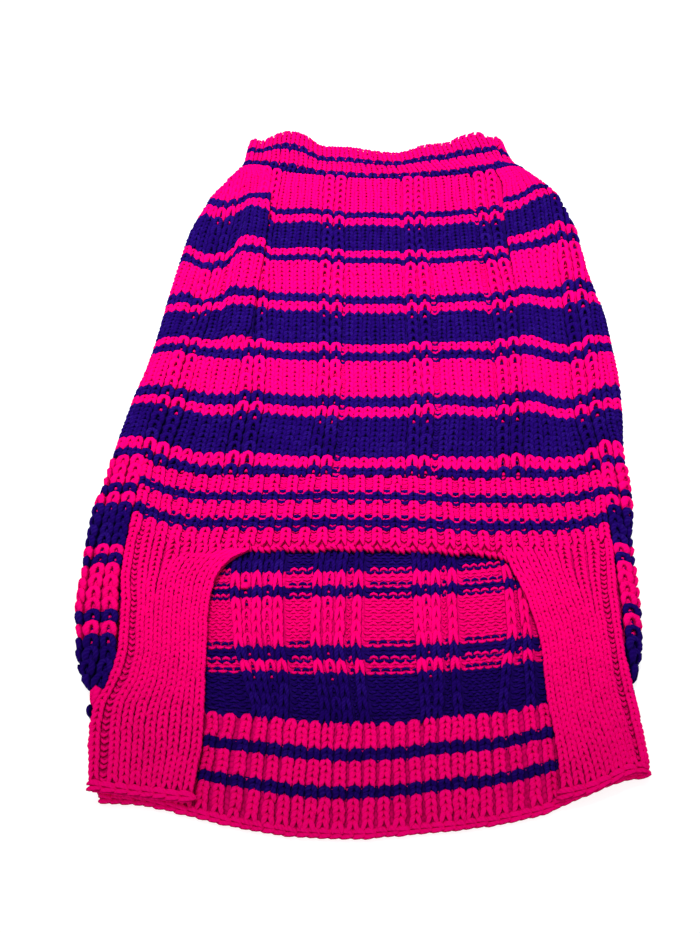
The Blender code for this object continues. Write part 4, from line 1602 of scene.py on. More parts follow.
@dataclass(frozen=True)
class BellyPanel(Piece):
    """The belly panel between the two leg openings."""

    zone: KnitZone = KnitZone(Opening.CENTRE, BELLY_RUNS)
    columns: int = 31
    cut: tuple[float, float] = (197.0, 316.0)

    def fabric(self) -> Fabric:
        """The panel's fabric."""
        left, right = upright(GARMENT.belly_left), upright(GARMENT.belly_right)
        place = between_limits(left, right, zone_ground(Opening.CENTRE, 0.0))
        patch = Patch(BODY_ROWS, self.columns, place, zone_skin(Opening.CENTRE), steps=40)
        return Fabric("belly_panel", (patch,), self.cut, rests_on=("back_panel_fabric",))

    def stitches(self, into: YarnMesh) -> None:
        """Lays the panel's stitches into a mesh."""
        self.zone.stitches(into)


@dataclass(frozen=True)
class SideStrip:
    """What shows of a side beyond its strap: chunky slipped columns that run round the fold."""

    side: Side
    outer: Curve
    columns: int
    pitch: float
    start: float
    levels: Curve
    low: float = 59.0
    high: float = 226.0
    half_thick: float = 1.8
    lift: float = 0.5
    sink: float = 0.75
    spare: float = 0.6
    under_from: float = 62.0
    most_under: float = 18.0

    def edge(self, s: Array) -> Array:
        """x of the strap's outer edge."""
        return self.outer(np.minimum(s, GARMENT.rib_bottom))

    def ground(self, across: Array, level: Array) -> tuple[Array, Array]:
        """x and s of a place on the strip, where across counts millimetres out from the strap."""
        s = level + self.levels(level)
        x = self.edge(s) - self.side.value * across
        return x + wander(x, level, 4.0), s

    def room(self, level: Array) -> Array:
        """How far the strip reaches out from the strap, round the fold and under it."""
        s = level + self.levels(level)
        shown = np.abs(GARMENT.outline(self.side)(s) - self.edge(s))
        return shown + np.clip(s - self.under_from, 0.0, self.most_under)

    def middle(self, column: Array, level: Array) -> Array:
        """The middle of a chunky column."""
        return self.start + (column + 0.5) * self.pitch

    def stitches(self, into: YarnMesh) -> None:
        """Lays the strip's stitches into a mesh."""
        skin = zone_skin(Opening.RIB, self.sink)
        pairs = STRIP_ROWS.paired().between(self.low, self.high)
        cells = Cells.grid(pairs, self.columns, self.middle, steady(self.pitch))
        across, level = cells.places()
        cells = cells.kept(across - self.start < self.room(level) + self.spare * self.pitch)
        into.slip(cells, self.ground, skin, self.half_thick, self.lift, unevenness=0.3)
        into.knit(cells, (ARCH_LINING,), self.ground, skin, self.half_thick)


@dataclass(frozen=True)
class GarmentSide(Piece):
    """A side: beside the belly panel and beside its strap, and round the fold to the back."""

    node: str
    side: Side
    zone: KnitZone
    strip: SideStrip
    end_rise: float
    cut: tuple[float, float]
    seam_gap: float = 0.3
    strap_gap: float = 0.9
    body_columns: int = 18
    strip_columns: int = 8
    strip_top: float = 229.0
    strip_foot: float = 59.0

    def end(self, level: Array) -> Array:
        """Where the side ends on the back."""
        outline = GARMENT.outline(self.side)
        return outline(level + self.end_rise) - self.side.value * GARMENT.fold_past

    def seam(self, level: Array) -> Array:
        """The side's edge at the belly panel, or at the leg opening."""
        share = GARMENT.opening_share(level)
        is_open = (share > GARMENT.slit_foot_open) & (share < GARMENT.slit_top_open)
        if self.side is Side.LEFT:
            closed = GARMENT.belly_left - self.seam_gap
            return np.where(is_open, mix(*GARMENT.flap_edge, share), closed)
        return GARMENT.belly_right + self.seam_gap + np.where(is_open, GARMENT.slit_width, 0.0)

    def strap_edge(self, level: Array) -> Array:
        """The side's edge at the strap."""
        return self.strip.edge(level) - self.side.value * self.strap_gap

    def patch(
        self,
        rows: Rows,
        columns: int,
        inner: Limit,
        ground: Ground,
        opening: Opening,
    ) -> Patch:
        """One stretch of the side's fabric."""
        limits = (self.end, inner) if self.side is Side.LEFT else (inner, self.end)
        return Patch(rows, columns, between_limits(*limits, ground), folded_skin(opening))

    def fabric(self) -> Fabric:
        """The side's fabric, in two stretches."""
        opening = self.zone.opening
        stripes = STRIP_ROWS.between(self.strip.low, self.strip_top).stripes()
        if self.strip.low > self.strip_foot:
            stripes.append(Stripe(PINK, 4, self.strip_foot))
        rows = Rows.of(self.strip_top, stripes)
        patches = (
            self.patch(BODY_ROWS, self.body_columns, self.seam, zone_ground(opening, 0.0), opening),
            self.patch(rows, self.strip_columns, self.strap_edge, level_ground, Opening.RIB),
        )
        return Fabric(self.node, patches, self.cut, held=Held.FOLDED)

    def stitches(self, into: YarnMesh) -> None:
        """Lays the side's stitches into a mesh."""
        self.zone.stitches(into)
        self.strip.stitches(into)


@dataclass(frozen=True)
class NeckRib(Piece):
    """The front of the neck rib: knit columns and purl valleys, round both folds to the back.

    The places of the columns are shares of their pitch, and so are their widths.
    """

    columns: int = 27
    past_fold: int = 2
    knit_place: float = 0.46
    knit_width: float = 0.84
    knit_lift: float = 0.3
    purl_place: float = 0.97
    purl_width: float = 0.3
    purl_lift: float = -0.9
    half_thick: float = 1.5
    purl_half_thick: float = 1.2
    fold_margin: float = 7.0
    sink: float = 0.75
    cut: tuple[float, float] = (286.0, 62.0)

    def ground(self, across: Array, level: Array) -> tuple[Array, Array]:
        """x and s of a place on the rib, where across counts columns from the left."""
        x, s = GARMENT.on_neck(across / self.columns, level, self.fold_margin, GARMENT.front_row)
        return x + 0.6 * wander(x, level, 1.0), s

    def columns_at(self, place: float) -> Spacing:
        """The middles of the columns that stand at a share of their pitch."""

        def middle(column: Array, level: Array) -> Array:
            """The middle of a column."""
            return column - self.past_fold + place

        return middle

    def fabric(self) -> Fabric:
        """The rib's fabric."""

        def place(share: Array, level: Array) -> tuple[Array, Array]:
            """x and s at a share of the way between the two ends on the back."""
            return GARMENT.on_neck(share, level, -GARMENT.fold_past, GARMENT.front_row)

        patch = Patch(NECK_ROWS, self.columns + 6, place, folded_skin(Opening.CENTRE), steps=60)
        return Fabric("neck_rib_front", (patch,), self.cut, slot=Slot.RIB, held=Held.FOLDED)

    def stitches(self, into: YarnMesh) -> None:
        """Lays the rib's stitches into a mesh."""
        skin = zone_skin(Opening.CENTRE, self.sink)
        many = self.columns + 2 * self.past_fold
        for place, width, strands, thick, lift in (
            (self.knit_place, self.knit_width, RIB_KNIT, self.half_thick, self.knit_lift),
            (self.purl_place, self.purl_width, RIB_PURL, self.purl_half_thick, self.purl_lift),
        ):
            cells = Cells.grid(NECK_ROWS, many, self.columns_at(place), steady(width))
            into.knit(cells, strands, self.ground, skin, thick, lift=lift)


def floor_patch(rows: Rows, columns: int, ground: Ground, steps: int) -> Patch:
    """A stretch of thick fabric that lies on the floor."""
    return Patch(rows, columns, ground, GARMENT.floor_skin, top=-0.8, thick=2.9, steps=steps)


@dataclass(frozen=True)
class NeckBack(Piece):
    """The back of the neck rib, whose inner face shows past the collar."""

    columns: int = 26
    gap: float = 1.2
    cut: tuple[float, float] = (226.0, 55.0)

    def fabric(self) -> Fabric:
        """The rib's fabric."""

        def place(share: Array, level: Array) -> tuple[Array, Array]:
            """x and s at a share of the way between the folds."""
            return GARMENT.on_neck(share, level, GARMENT.fold_reach + self.gap, GARMENT.back_row)

        patch = floor_patch(NECK_ROWS, self.columns, place, 40)
        return Fabric("neck_rib_back", (patch,), self.cut, slot=Slot.RIB)


@dataclass(frozen=True)
class BoundEdge:
    """A bound-off edge: a chain of pink links that lies along it.

    edge gives the outer limit at each x.
    """

    left: float
    right: float
    edge: Limit
    skin: Skin
    breadth: float
    pitch: float
    half_thick: float = 1.5
    lift: float = -0.9
    round_off: float = 1.6
    unevenness: float = 0.25
    links: tuple[Strand, ...] = (CHAIN_OUTER, CHAIN_INNER)

    def stitches(self, into: YarnMesh) -> None:
        """Lays the chain into a mesh."""
        many = round((self.right - self.left) / self.pitch)
        pitch = (self.right - self.left) / many
        start = self.left + pitch * np.arange(many)[:, None]
        drift = into.drift(self.unevenness, 2, many)
        tone = into.random.uniform(0.0, 1.0, (many, 1))
        room = self.breadth - 2.0 * self.half_thick
        for link in self.links:
            across, up, out, thick = (
                np.array(part)[None] for part in (link.across, link.up, link.out, link.thick)
            )
            x = start + across * pitch + drift[0]
            height = self.half_thick * out + self.lift - self.round_off * (1.0 - up)
            into.strands(
                x,
                self.edge(x) + (self.half_thick + room * up) + 0.6 * drift[1],
                np.broadcast_to(height, x.shape),
                np.broadcast_to(self.half_thick * thick, x.shape),
                self.skin,
                np.full(many, PINK.value),
                # Painted shade: the random tone drops towards each link's thin ends, where it dips
                # under other yarn.
                tone - into.end_shade * (1.0 - thick),
                whole=True,
            )


@dataclass(frozen=True)
class BellyRib(Piece):
    """The rib that ends the belly panel, over the cut-out and into both straps."""

    columns: int = 30
    middles: Curve = RIB_MIDDLES
    knit_width: float = 6.6
    crowded_width: float = 0.76
    half_thick: float = 1.45
    knit_lift: float = 0.25
    purl_inset: float = 0.72
    purl_half_thick: tuple[tuple[Yarn, float], ...] = ((PINK, 1.0), (PURPLE, 1.4))
    purl_lift: float = -0.45
    edge_level: float = 158.2
    edge_ends: tuple[float, float] = (-75.0, 79.0)
    corner_places: tuple[float, ...] = (56.0, 64.0, 72.0, 80.0)
    corner_drops: tuple[float, ...] = (0.0, 0.8, 2.4, 5.5)
    sink: float = 0.75
    fabric_top: float = 213.0
    fabric_foot: float = 160.4
    cut: tuple[float, float] = (288.0, 56.0)

    @staticmethod
    def fan(x: Array, level: Array) -> Array:
        """How far the columns lean out over the corners of the cut-out."""
        over_corner = np.exp(-(((np.abs(x) - 88.0) / 30.0) ** 2))
        return 2.2 * np.sign(x) * ramp(level, 190.0, 156.0) * over_corner

    def middle(self, column: Array, level: Array) -> Array:
        """The middle of a knit column."""
        x = self.middles(column)
        return x + self.fan(x, level)

    def valley(self, column: Array, level: Array) -> Array:
        """The middle of a purl column."""
        x = 0.5 * (self.middles(column) + self.middles(column + 1.0))
        return x + self.fan(x, level)

    def width(self, column: Array, level: Array) -> Array:
        """The width of a knit column, narrower where the columns crowd."""
        pitch = 0.5 * (self.middles(column + 1.0) - self.middles(column - 1.0))
        return np.minimum(self.knit_width, self.crowded_width * pitch)

    def purl_width(self, column: Array, level: Array) -> Array:
        """The width of a purl column."""
        pitch = self.middles(column + 1.0) - self.middles(column)
        return pitch - self.purl_inset * self.knit_width

    def edge(self, x: Array) -> Array:
        """s of the rib's lower limit, which waves a little and drops at the right corner."""
        corner = np.interp(x, self.corner_places, self.corner_drops)
        wave = 0.9 * np.sin(0.31 * x) * np.sin(0.083 * x + 0.6)
        return self.edge_level + RIB_BOW(x) - corner + wave

    def fabric(self) -> Fabric:
        """The rib's fabric."""

        def left(level: Array) -> Array:
            """The left strap's outer edge, where the rows rise to it."""
            return STRAP_LEFT_OUTER(level + 8.0)

        def right(level: Array) -> Array:
            """The right strap's outer edge, where the rows rise to it."""
            return STRAP_RIGHT_OUTER(level + 4.0)

        stripes = [*FRONT_ROWS.stripes(high=212.0), Stripe(PINK, 1, self.fabric_foot)]
        place = between_limits(left, right, zone_ground(Opening.RIB, 0.0))
        rows = Rows.of(self.fabric_top, stripes)
        patch = Patch(rows, self.columns - 1, place, zone_skin(Opening.RIB), top=-1.5, steps=60)
        on = ("back_panel_fabric",)
        return Fabric("belly_rib", (patch,), self.cut, slot=Slot.RIB, rests_on=on)

    def stitches(self, into: YarnMesh) -> None:
        """Lays the rib's stitches into a mesh."""
        ground, skin = zone_ground(Opening.RIB), zone_skin(Opening.RIB, self.sink)
        rows = FRONT_ROWS.between(163.0, self.fabric_top)
        knit = Cells.grid(rows, self.columns, self.middle, self.width)
        into.knit(knit, RIB_KNIT, ground, skin, self.half_thick, lift=self.knit_lift)
        purl = Cells.grid(rows, self.columns - 1, self.valley, self.purl_width)
        for yarn, thick in self.purl_half_thick:
            marks = purl.kept(purl.yarn == yarn.value)
            into.knit(marks, RIB_PURL, ground, skin, thick, lift=self.purl_lift, unevenness=0.15)
        links = (EDGE_LUMP,)
        BoundEdge(*self.edge_ends, self.edge, skin, 5.0, 3.6, links=links).stitches(into)


@dataclass(frozen=True)
class Strap(Piece):
    """A ribbed side band, from the belly rib down to the hem.

    Its columns run on from those of the belly rib, which are counted from the left: rib_columns
    gives them at the strap's outer edge, its edge column, its first column and its inner edge.
    """

    node: str
    side: Side
    outer: Curve
    inner: Curve
    foot: Curve
    splay: float = 0.0
    columns: int = 8
    rows: int = 43
    lowest: float = 0.042
    edge_share: float = 0.105
    ladder_share: float = 0.075
    ladder_place: float = 0.46
    ladder_width: float = 1.3
    ladder_half_thick: float = 1.05
    ladder_lift: float = -0.3
    rib_columns: tuple[float, ...] = (-0.38, -0.04, 0.5, 8.5)
    last_rib_column: float = 29.0
    fan_level: float = 166.0
    rib_foot: float = 163.4
    outer_inset: float = 1.1
    inner_inset: float = 0.2
    squeeze: float = 0.95
    droop: float = 6.0
    droop_span: tuple[float, float, float] = (0.62, 0.86, 1.0)
    splay_span: tuple[float, float] = (0.30, 0.02)
    rib_span: tuple[float, float] = (0.66, 1.0)
    half_thick: float = 1.24
    knit_lift: float = 0.25
    sink: float = 0.75
    cut: tuple[float, float] = (76.0, 160.0)

    def start(self) -> float:
        """The share of the strap's width that its edge column and the ladder take."""
        return self.edge_share + self.ladder_share

    def rib_place(self, along: Array) -> Array:
        """x of the belly rib's column that runs on at a share of the way across."""
        shares = (0.0, 0.5 * self.edge_share, self.start(), 1.0)
        column = np.interp(along, shares, self.rib_columns)
        if self.side is Side.RIGHT:
            column = self.last_rib_column - column
        x = RIB_MIDDLES(column)
        return x + BellyRib.fan(x, np.full(np.shape(x), self.fan_level))

    def ground(self, along: Array, up: Array) -> tuple[Array, Array]:
        """x and s of a place on the strap.

        Args:
            along: the share of the way from its outer to its inner edge.
            up: the share of the way from its foot to its top.

        Returns:
            x and s.
        """
        side = self.side.value
        rib_x = self.rib_place(along)
        foot_s = self.foot(along)
        low, most, high = self.droop_span
        droop = self.droop * np.clip(along, 0.0, 1.0) ** 3 * ramp(up, low, most) * ramp(up, high, most)
        s = mix(foot_s, self.rib_foot + RIB_BOW(rib_x), up) - droop
        edge_s = mix(foot_s, GARMENT.rib_bottom, up) - droop
        hump = np.clip(4.0 * along * (1.0 - along), 0.0, 1.0)
        outer = self.outer(edge_s) + side * self.outer_inset
        inner = self.inner(edge_s) - side * self.inner_inset
        free = mix(outer, inner, along) - side * self.splay * ramp(up, *self.splay_span) * hump
        x = mix(free, rib_x, ramp(up, *self.rib_span))
        held = np.minimum(s, GARMENT.rib_bottom)
        limit = side * self.inner(held) - self.inner_inset
        limit = limit - self.squeeze * (limit - side * self.outer(held)) * (1.0 - along)
        x = side * np.minimum(side * x, limit)
        return x + 0.5 * wander(x, s, 2.0), s

    def middle(self, column: Array, level: Array) -> Array:
        """The middle of a knit column, the first of which is the outer edge's."""
        pitch = (1.0 - self.start()) / self.columns
        return np.where(column == 0, 0.5 * self.edge_share, self.start() + (column - 0.5) * pitch)

    def width(self, column: Array, level: Array) -> Array:
        """The width of a knit column."""
        pitch = (1.0 - self.start()) / self.columns
        return np.where(column == 0, 0.95 * self.edge_share, 0.93 * pitch)

    def fabric(self) -> Fabric:
        """The strap's fabric."""
        limits = np.linspace(1.0, 0.0, self.rows + 2)
        rows = Rows(limits[1:], limits[:-1], np.full(self.rows + 1, PINK.value))

        def place(share: Array, level: Array) -> tuple[Array, Array]:
            """x and s at a share from left to right."""
            held = mix(0.02, 0.985, share)
            return self.ground(held if self.side is Side.LEFT else 1.0 - held, level)

        patch = Patch(rows, self.columns, place, zone_skin(Opening.RIB), top=-1.4, steps=18)
        on = ("back_panel_fabric",)
        return Fabric(self.node, (patch,), self.cut, slot=Slot.RIB, rests_on=on)

    def stitches(self, into: YarnMesh) -> None:
        """Lays the strap's stitches into a mesh."""
        limits = np.linspace(1.0, self.lowest, self.rows + 1)
        rows = Rows(limits[1:], limits[:-1], np.full(self.rows, PINK.value))
        skin = zone_skin(Opening.RIB, self.sink)
        knit = Cells.grid(rows, self.columns + 1, self.middle, self.width)
        into.knit(
            knit,
            RIB_KNIT,
            self.ground,
            skin,
            self.half_thick,
            lift=self.knit_lift,
            unevenness=0.13,
            squared=True,
        )
        place = steady(self.edge_share + self.ladder_place * self.ladder_share)
        bars = Cells.grid(rows, 1, place, steady(self.ladder_width * self.ladder_share))
        thick, lift = self.ladder_half_thick, self.ladder_lift
        into.knit(bars, (RIB_VEE,), self.ground, skin, thick, lift=lift, unevenness=0.3)
        edge_x, edge_s = self.ground(np.linspace(0.0, 1.0, 9), np.zeros(9))
        order = np.argsort(edge_x)
        edge = Curve(tuple(zip(edge_x[order], edge_s[order])))
        left, right = edge_x.min() - 0.4, edge_x.max() + 0.4
        BoundEdge(left, right, edge, skin, 5.6, 6.4, half_thick=1.55, lift=0.0).stitches(into)


@dataclass(frozen=True)
class HemRib(Piece):
    """The rib at the back's hem. Its columns are counted from the left of the cut-out."""

    window: int = 24
    beyond: int = 8
    middles: Curve = Curve(
        ((-8, -142), (0.0, -82.2), (4, -49.2), (8, -22.2), (12, 7.2), (16, 38.1), (18, 51.2),
        (20, 65.3), (23, 90.4), (30, 140)),
    )
    knit_width: float = 5.9
    knit_lift: float = 0.3
    purl_width: float = 2.6
    purl_lift: float = -1.3
    half_thick: float = 1.5
    purl_half_thick: float = 1.0
    tuck: float = 0.5
    sink: float = 1.0
    shown: tuple[float, float] = (-90.0, 97.0)
    shown_below: float = 19.0
    ends: tuple[float, float] = (-131.0, 138.0)
    edge_ends: tuple[float, float] = (-132.5, 140.0)
    past_edge: Curve = Curve(
        ((-132, -0.2), (-90, 0.2), (-30, 0.0), (10, -0.4), (100, -0.4), (140, 0.0)),
    )
    top: float = 60.0
    fabric_foot: float = 0.4
    left_side: tuple[float, float] = (-133.0, -145.5)
    columns: int = 38
    cut: tuple[float, float] = (292.0, 62.0)

    @staticmethod
    def ground(x: Array, level: Array) -> tuple[Array, Array]:
        """x and s of a place on the rib."""
        return x + 0.6 * wander(x, level, 5.0), level + HEM_BOW(x, level)

    def middle(self, column: Array, level: Array) -> Array:
        """The middle of a knit column."""
        return self.middles(column - self.beyond)

    def valley(self, column: Array, level: Array) -> Array:
        """The middle of a purl column."""
        return 0.5 * (self.middles(column - self.beyond) + self.middles(column - self.beyond + 1.0))

    def edge(self, x: Array) -> Array:
        """s of the chain's outer limit."""
        return GARMENT.hem_edge(x) + self.past_edge(x)

    def left_end(self, level: Array) -> Array:
        """x of the fabric's left limit, which rounds in to the edge."""
        return mix(*self.left_side, np.sqrt(np.clip(level / self.top, 0.0, 1.0)))

    def fabric(self) -> Fabric:
        """The rib's fabric."""
        stripes = [*BACK_ROWS.stripes(high=59.0), Stripe(PINK, 1, self.fabric_foot)]
        place = between_limits(self.left_end, upright(self.edge_ends[1]), self.ground)
        patch = floor_patch(Rows.of(self.top, stripes), self.columns, place, 60)
        return Fabric("hem_rib", (patch,), self.cut, slot=Slot.RIB)

    def stitches(self, into: YarnMesh) -> None:
        """Lays the rib's stitches into a mesh."""
        rows = BACK_ROWS.between(4.6, 56.5)
        rows = Rows(np.append(rows.foot[:-1], rows.foot[-1] - self.tuck), rows.top, rows.yarn)
        skin = back_skin(self.sink)
        many = self.window + 2 * self.beyond - 1
        for centre, width, strands, thick, lift in (
            (self.middle, self.knit_width, RIB_KNIT, self.half_thick, self.knit_lift),
            (self.valley, self.purl_width, (RIB_VEE,), self.purl_half_thick, self.purl_lift),
        ):
            cells = Cells.grid(rows, many, centre, steady(width))
            x, level = cells.places()
            shown = ((x > self.shown[0]) & (x < self.shown[1])) | (level < self.shown_below)
            cells = cells.kept(shown & (x > self.ends[0]) & (x < self.ends[1]))
            into.knit(cells, strands, self.ground, skin, thick, lift=lift)
        BoundEdge(*self.edge_ends, self.edge, skin, 5.2, 5.4, lift=-0.2).stitches(into)


@dataclass(frozen=True)
class BackPanel(Piece):
    """The back, with its inner face up, which shows through the cut-out.

    Its knit columns are two rows tall. Small slipped arches lie between some of them, and the
    stretches beyond them are purl. Each Curve is the middle of a knit column at each level.
    """

    left: tuple[Curve, ...] = (
        Curve(((60, -60), (74, -64.9), (88, -69.4), (102, -73.7), (143, -80.2), (165, -82))),
        Curve(((60, -54.7), (74, -57.5), (88, -60.3), (102, -63.3), (143, -68.3))),
        Curve(((60, -44.8), (74, -46.7), (88, -48.6), (102, -51.8), (143, -56.2))),
    )
    middle: tuple[Curve, ...] = (
        Curve(((60, -24), (74, -26.6), (88, -29.3), (102, -32.5), (143, -33.2))),
        Curve(((60, -12.4), (74, -14.7), (88, -17.2), (102, -19), (143, -19.8))),
        Curve(((60, -3.8), (74, -5.8), (88, -7.8), (102, -9.8), (143, -10.5))),
    )
    right: tuple[Curve, ...] = (
        Curve(((60, 27.4), (79, 26.4), (91, 25.7), (104, 24.6), (142, 24))),
        Curve(((60, 34), (79, 34.4), (91, 34.8), (142, 34.9))),
        Curve(((60, 44.8), (79, 44.3), (142, 43.9))),
    )
    edge: tuple[Curve, ...] = (
        Curve(((60, 69.5), (85, 72.7), (94, 74.8), (107, 76.5), (138, 76.7), (145, 75.6))),
        Curve(((60, 83.9), (85, 84.3), (104, 84.6))),
    )
    far_left: Curve = upright(-100.0)
    far_right: Curve = Curve(((60.0, 104.0), (170.0, 98.0)))
    knit_width: float = 6.8
    half_thick: float = 1.4
    knit_lift: float = 0.5
    arch_width: float = 6.4
    arch_half_thick: float = 1.25
    arch_lift: float = -0.2
    purl_half_thick: float = 0.9
    purl_margin: float = 3.6
    knot: Rows = Rows.of(139.6, (Stripe(PINK, 1, 134.4),))
    sink: float = 1.0
    hem_level: float = 56.5
    top_level: float = 172.0
    upper_level: float = 100.0
    upper_bows: tuple[float, float] = (-1.0, 6.0)
    upper_half_width: float = 88.0
    fold_gap: float = 0.3
    fabric_top: float = 517.0
    neck_lift: Curve = Curve(((60.0, 0.0), (213.0, 0.0), (517.0, 25.0)))
    columns: int = 40
    cut: tuple[float, float] = (293.0, 460.0)

    def ground(self, x: Array, level: Array) -> tuple[Array, Array]:
        """x and s of a place on the back's inside."""
        upper = np.where(x < 0.0, *self.upper_bows) * (x / self.upper_half_width) ** 2
        hem = HEM_BOW(x, np.full(np.shape(level), self.hem_level))
        bow = mix(hem, upper, ramp(level, self.hem_level, self.upper_level))
        return x + wander(x, level, 6.0), level + bow

    def fabric_ground(self, x: Array, level: Array) -> tuple[Array, Array]:
        """x and s of a place on the fabric, whose rows rise with the neck line."""
        rise = self.neck_lift(level) * (x / GARMENT.neck_half_width) ** 2
        return x, self.ground(x, level)[1] + rise

    def fold_end(self, side: Side) -> Limit:
        """x of the fold's end on one side at each level."""

        def end(level: Array) -> Array:
            """x at each level."""
            return GARMENT.outline(side)(level) + side.value * (GARMENT.fold_reach + self.fold_gap)

        return end

    def fabric(self) -> Fabric:
        """The back's fabric."""
        stripes = BODY_ROWS.stripes()
        stripes += [Stripe(PINK, 6, 192.0), Stripe(PURPLE, 2, 186.0), Stripe(PINK, 2, 179.7)]
        stripes += BACK_ROWS.stripes(low=59.0)
        place = between_limits(
            self.fold_end(Side.LEFT), self.fold_end(Side.RIGHT), self.fabric_ground
        )
        patch = floor_patch(Rows.of(self.fabric_top, stripes), self.columns, place, 40)
        return Fabric("back_panel", (patch,), self.cut)

    def stitches(self, into: YarnMesh) -> None:
        """Lays the stitches into a mesh."""
        rows = BACK_ROWS.between(self.hem_level, self.top_level)
        pairs = rows.paired()
        skin = back_skin(self.sink)
        left, middle, right, edge = self.left, self.middle, self.right, self.edge
        for curve in (*left, *middle, *right, *edge):
            knit = Cells.grid(pairs, 1, Gap(curve, curve).centre, steady(self.knit_width))
            into.knit(knit, LONG_KNIT, self.ground, skin, self.half_thick, lift=self.knit_lift)
        for one, other in (left[:2], left[1:], middle[:2], right[:2]):
            cells = Cells.grid(pairs, 1, Gap(one, other).centre, steady(self.arch_width))
            into.slip(cells, self.ground, skin, self.arch_half_thick, self.arch_lift)
        for one, other, count in (
            (self.far_left, left[0], 4),
            (left[2], middle[0], 3),
            (middle[1], middle[2], 1),
            (middle[2], right[0], 5),
            (right[1], right[2], 1),
            (right[2], edge[0], 5),
            (edge[0], edge[1], 1),
            (edge[1], self.far_right, 2),
        ):
            gap = Gap(one, other, count, self.purl_margin)
            cells = Cells.grid(rows, count, gap.centre, gap.width)
            into.knit(cells, PURL, self.ground, skin, self.purl_half_thick, unevenness=0.15)
        knot = Cells.grid(self.knot, 1, steady(-74.0), steady(5.6))
        into.knit(knot, (KNOT,), self.ground, skin, 2.2, lift=1.4, unevenness=0.0)


# The stage


class LampKind(Enum):
    """The kinds of light."""

    SPOT = "SPOT"
    AREA = "AREA"


@dataclass(frozen=True)
class Lamp:
    """A light that points at the garment's body."""

    name: str
    kind: LampKind
    place: tuple[float, float, float]
    size: float
    power: float
    pool_degrees: float = 42.0
    aim: tuple[float, float, float] = (0.0, 0.13, 0.0)

    def build(self) -> None:
        """Hangs the light."""
        data = bpy.data.lights.new(self.name, self.kind.value)
        data.energy = self.power
        if self.kind is LampKind.SPOT:
            data.shadow_soft_size = self.size
            data.spot_size = math.radians(self.pool_degrees)
            data.spot_blend = 1.0
        else:
            data.size = self.size
        light = bpy.data.objects.new(self.name, data)
        light.location = self.place
        x, y, z = np.array(self.aim) - np.array(self.place)
        light.rotation_euler = (math.atan2(math.hypot(x, y), -z), 0.0, math.atan2(y, x) - math.pi / 2)
        bpy.context.scene.collection.objects.link(light)


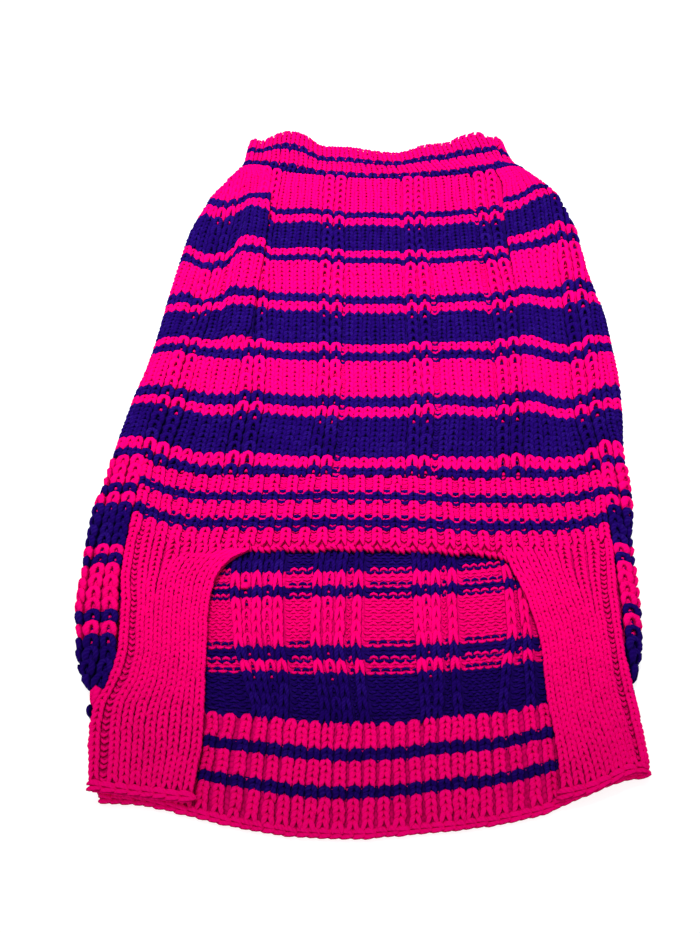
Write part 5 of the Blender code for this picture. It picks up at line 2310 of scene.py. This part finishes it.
@dataclass(frozen=True)
class Studio:
    """The floor, the lights and the camera."""

    camera_at: tuple[float, float, float] = (25.9, -409.1, 457.0)
    camera_down: float = 52.81
    focal_pixels: float = 900.0
    frame_pixels: float = 933.0
    sensor: float = 36.0
    centre_shift: float = -62.1
    near_clip: float = 0.01
    floor_half: float = 4.0
    floor_z: float = -0.0006
    floor_colour: Colour = (0.4, 0.4, 0.4, 1.0)
    floor_glow: float = 0.8
    surround: float = 0.58
    lamps: tuple[Lamp, ...] = (
        Lamp("pool", LampKind.SPOT, (-0.08, 0.16, 1.2), 0.12, 84),
        Lamp("fill", LampKind.AREA, (-0.5, -0.3, 1.6), 1.2, 1.6),
    )

    def build(self) -> None:
        """Sets up the stage."""
        bpy.context.scene.view_settings.view_transform = "Standard"
        self.floor()
        self.world()
        for lamp in self.lamps:
            lamp.build()
        self.camera()

    def camera(self) -> None:
        """The camera at the garment's foot, with its frame shifted to hold the whole of it."""
        data = bpy.data.cameras.new("front_view")
        data.sensor_fit = "AUTO"
        data.sensor_width = self.sensor
        data.lens = self.sensor * self.focal_pixels / self.frame_pixels
        data.shift_x = self.centre_shift / self.frame_pixels
        data.clip_start = self.near_clip
        camera = bpy.data.objects.new("front_view", data)
        camera.location = [value * MM for value in self.camera_at]
        camera.rotation_euler = (math.radians(90.0 - self.camera_down), 0.0, 0.0)
        bpy.context.scene.collection.objects.link(camera)
        bpy.context.scene.camera = camera

    def floor(self) -> None:
        """A plain pale floor."""
        half = self.floor_half
        corners = [(-half, -half, 0.0), (half, -half, 0.0), (half, half, 0.0), (-half, half, 0.0)]
        material = bpy.data.materials.new("pale_floor")
        material.use_nodes = True
        shader = material.node_tree.nodes["Principled BSDF"]
        for label, value in {
            "Base Color": self.floor_colour,
            "Emission Color": WHITE,
            "Emission Strength": self.floor_glow,
            "Roughness": 0.9,
            "Specular IOR Level": 0.1,
        }.items():
            shader.inputs[label].default_value = value
        square, slots = np.array([[0, 1, 2, 3]]), np.array([0])
        floor = mesh_object("floor", np.array(corners), square, slots, [material])
        floor.location.z = self.floor_z

    def world(self) -> None:
        """Even light from all round."""
        world = bpy.data.worlds.new("studio")
        world.use_nodes = True
        back = world.node_tree.nodes["Background"]
        back.inputs["Color"].default_value = WHITE
        back.inputs["Strength"].default_value = self.surround
        bpy.context.scene.world = world


FIRST_SEED = 100


def main() -> None:
    """Builds the garment piece by piece, and then the stage."""
    logging.basicConfig(level=logging.INFO, format="%(message)s")
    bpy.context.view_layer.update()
    finishes = Finishes.made()
    left, right = Side.LEFT, Side.RIGHT
    left_outer, right_outer = STRAP_LEFT_OUTER, STRAP_RIGHT_OUTER
    left_strip = SideStrip(left, left_outer, 4, 8.8, -1.1, upright(0.0))
    right_strip = SideStrip(right, right_outer, 3, 9.4, -0.6, RIGHT_STRIP_LEVELS, low=73.0)
    left_zone, right_zone = KnitZone(Opening.LEFT, LEFT_RUNS), KnitZone(Opening.RIGHT, RIGHT_RUNS)
    pieces = (
        BackPanel(),
        HemRib(),
        NeckBack(),
        BellyPanel(),
        GarmentSide("side_left", left, left_zone, left_strip, 6.0, (102.0, 470.0)),
        GarmentSide("side_right", right, right_zone, right_strip, 8.0, (98.0, 470.0)),
        NeckRib(),
        BellyRib(),
        Strap("strap_left", left, left_outer, STRAP_LEFT_INNER, LEFT_FOOT),
        Strap("strap_right", right, right_outer, STRAP_RIGHT_INNER, RIGHT_FOOT, splay=5.0),
    )
    total = sum(piece.build(finishes, FIRST_SEED + place) for place, piece in enumerate(pieces))
    LOG.info("%d triangles of stitches", total)
    Studio().build()


if __name__ == "__main__":
    main()
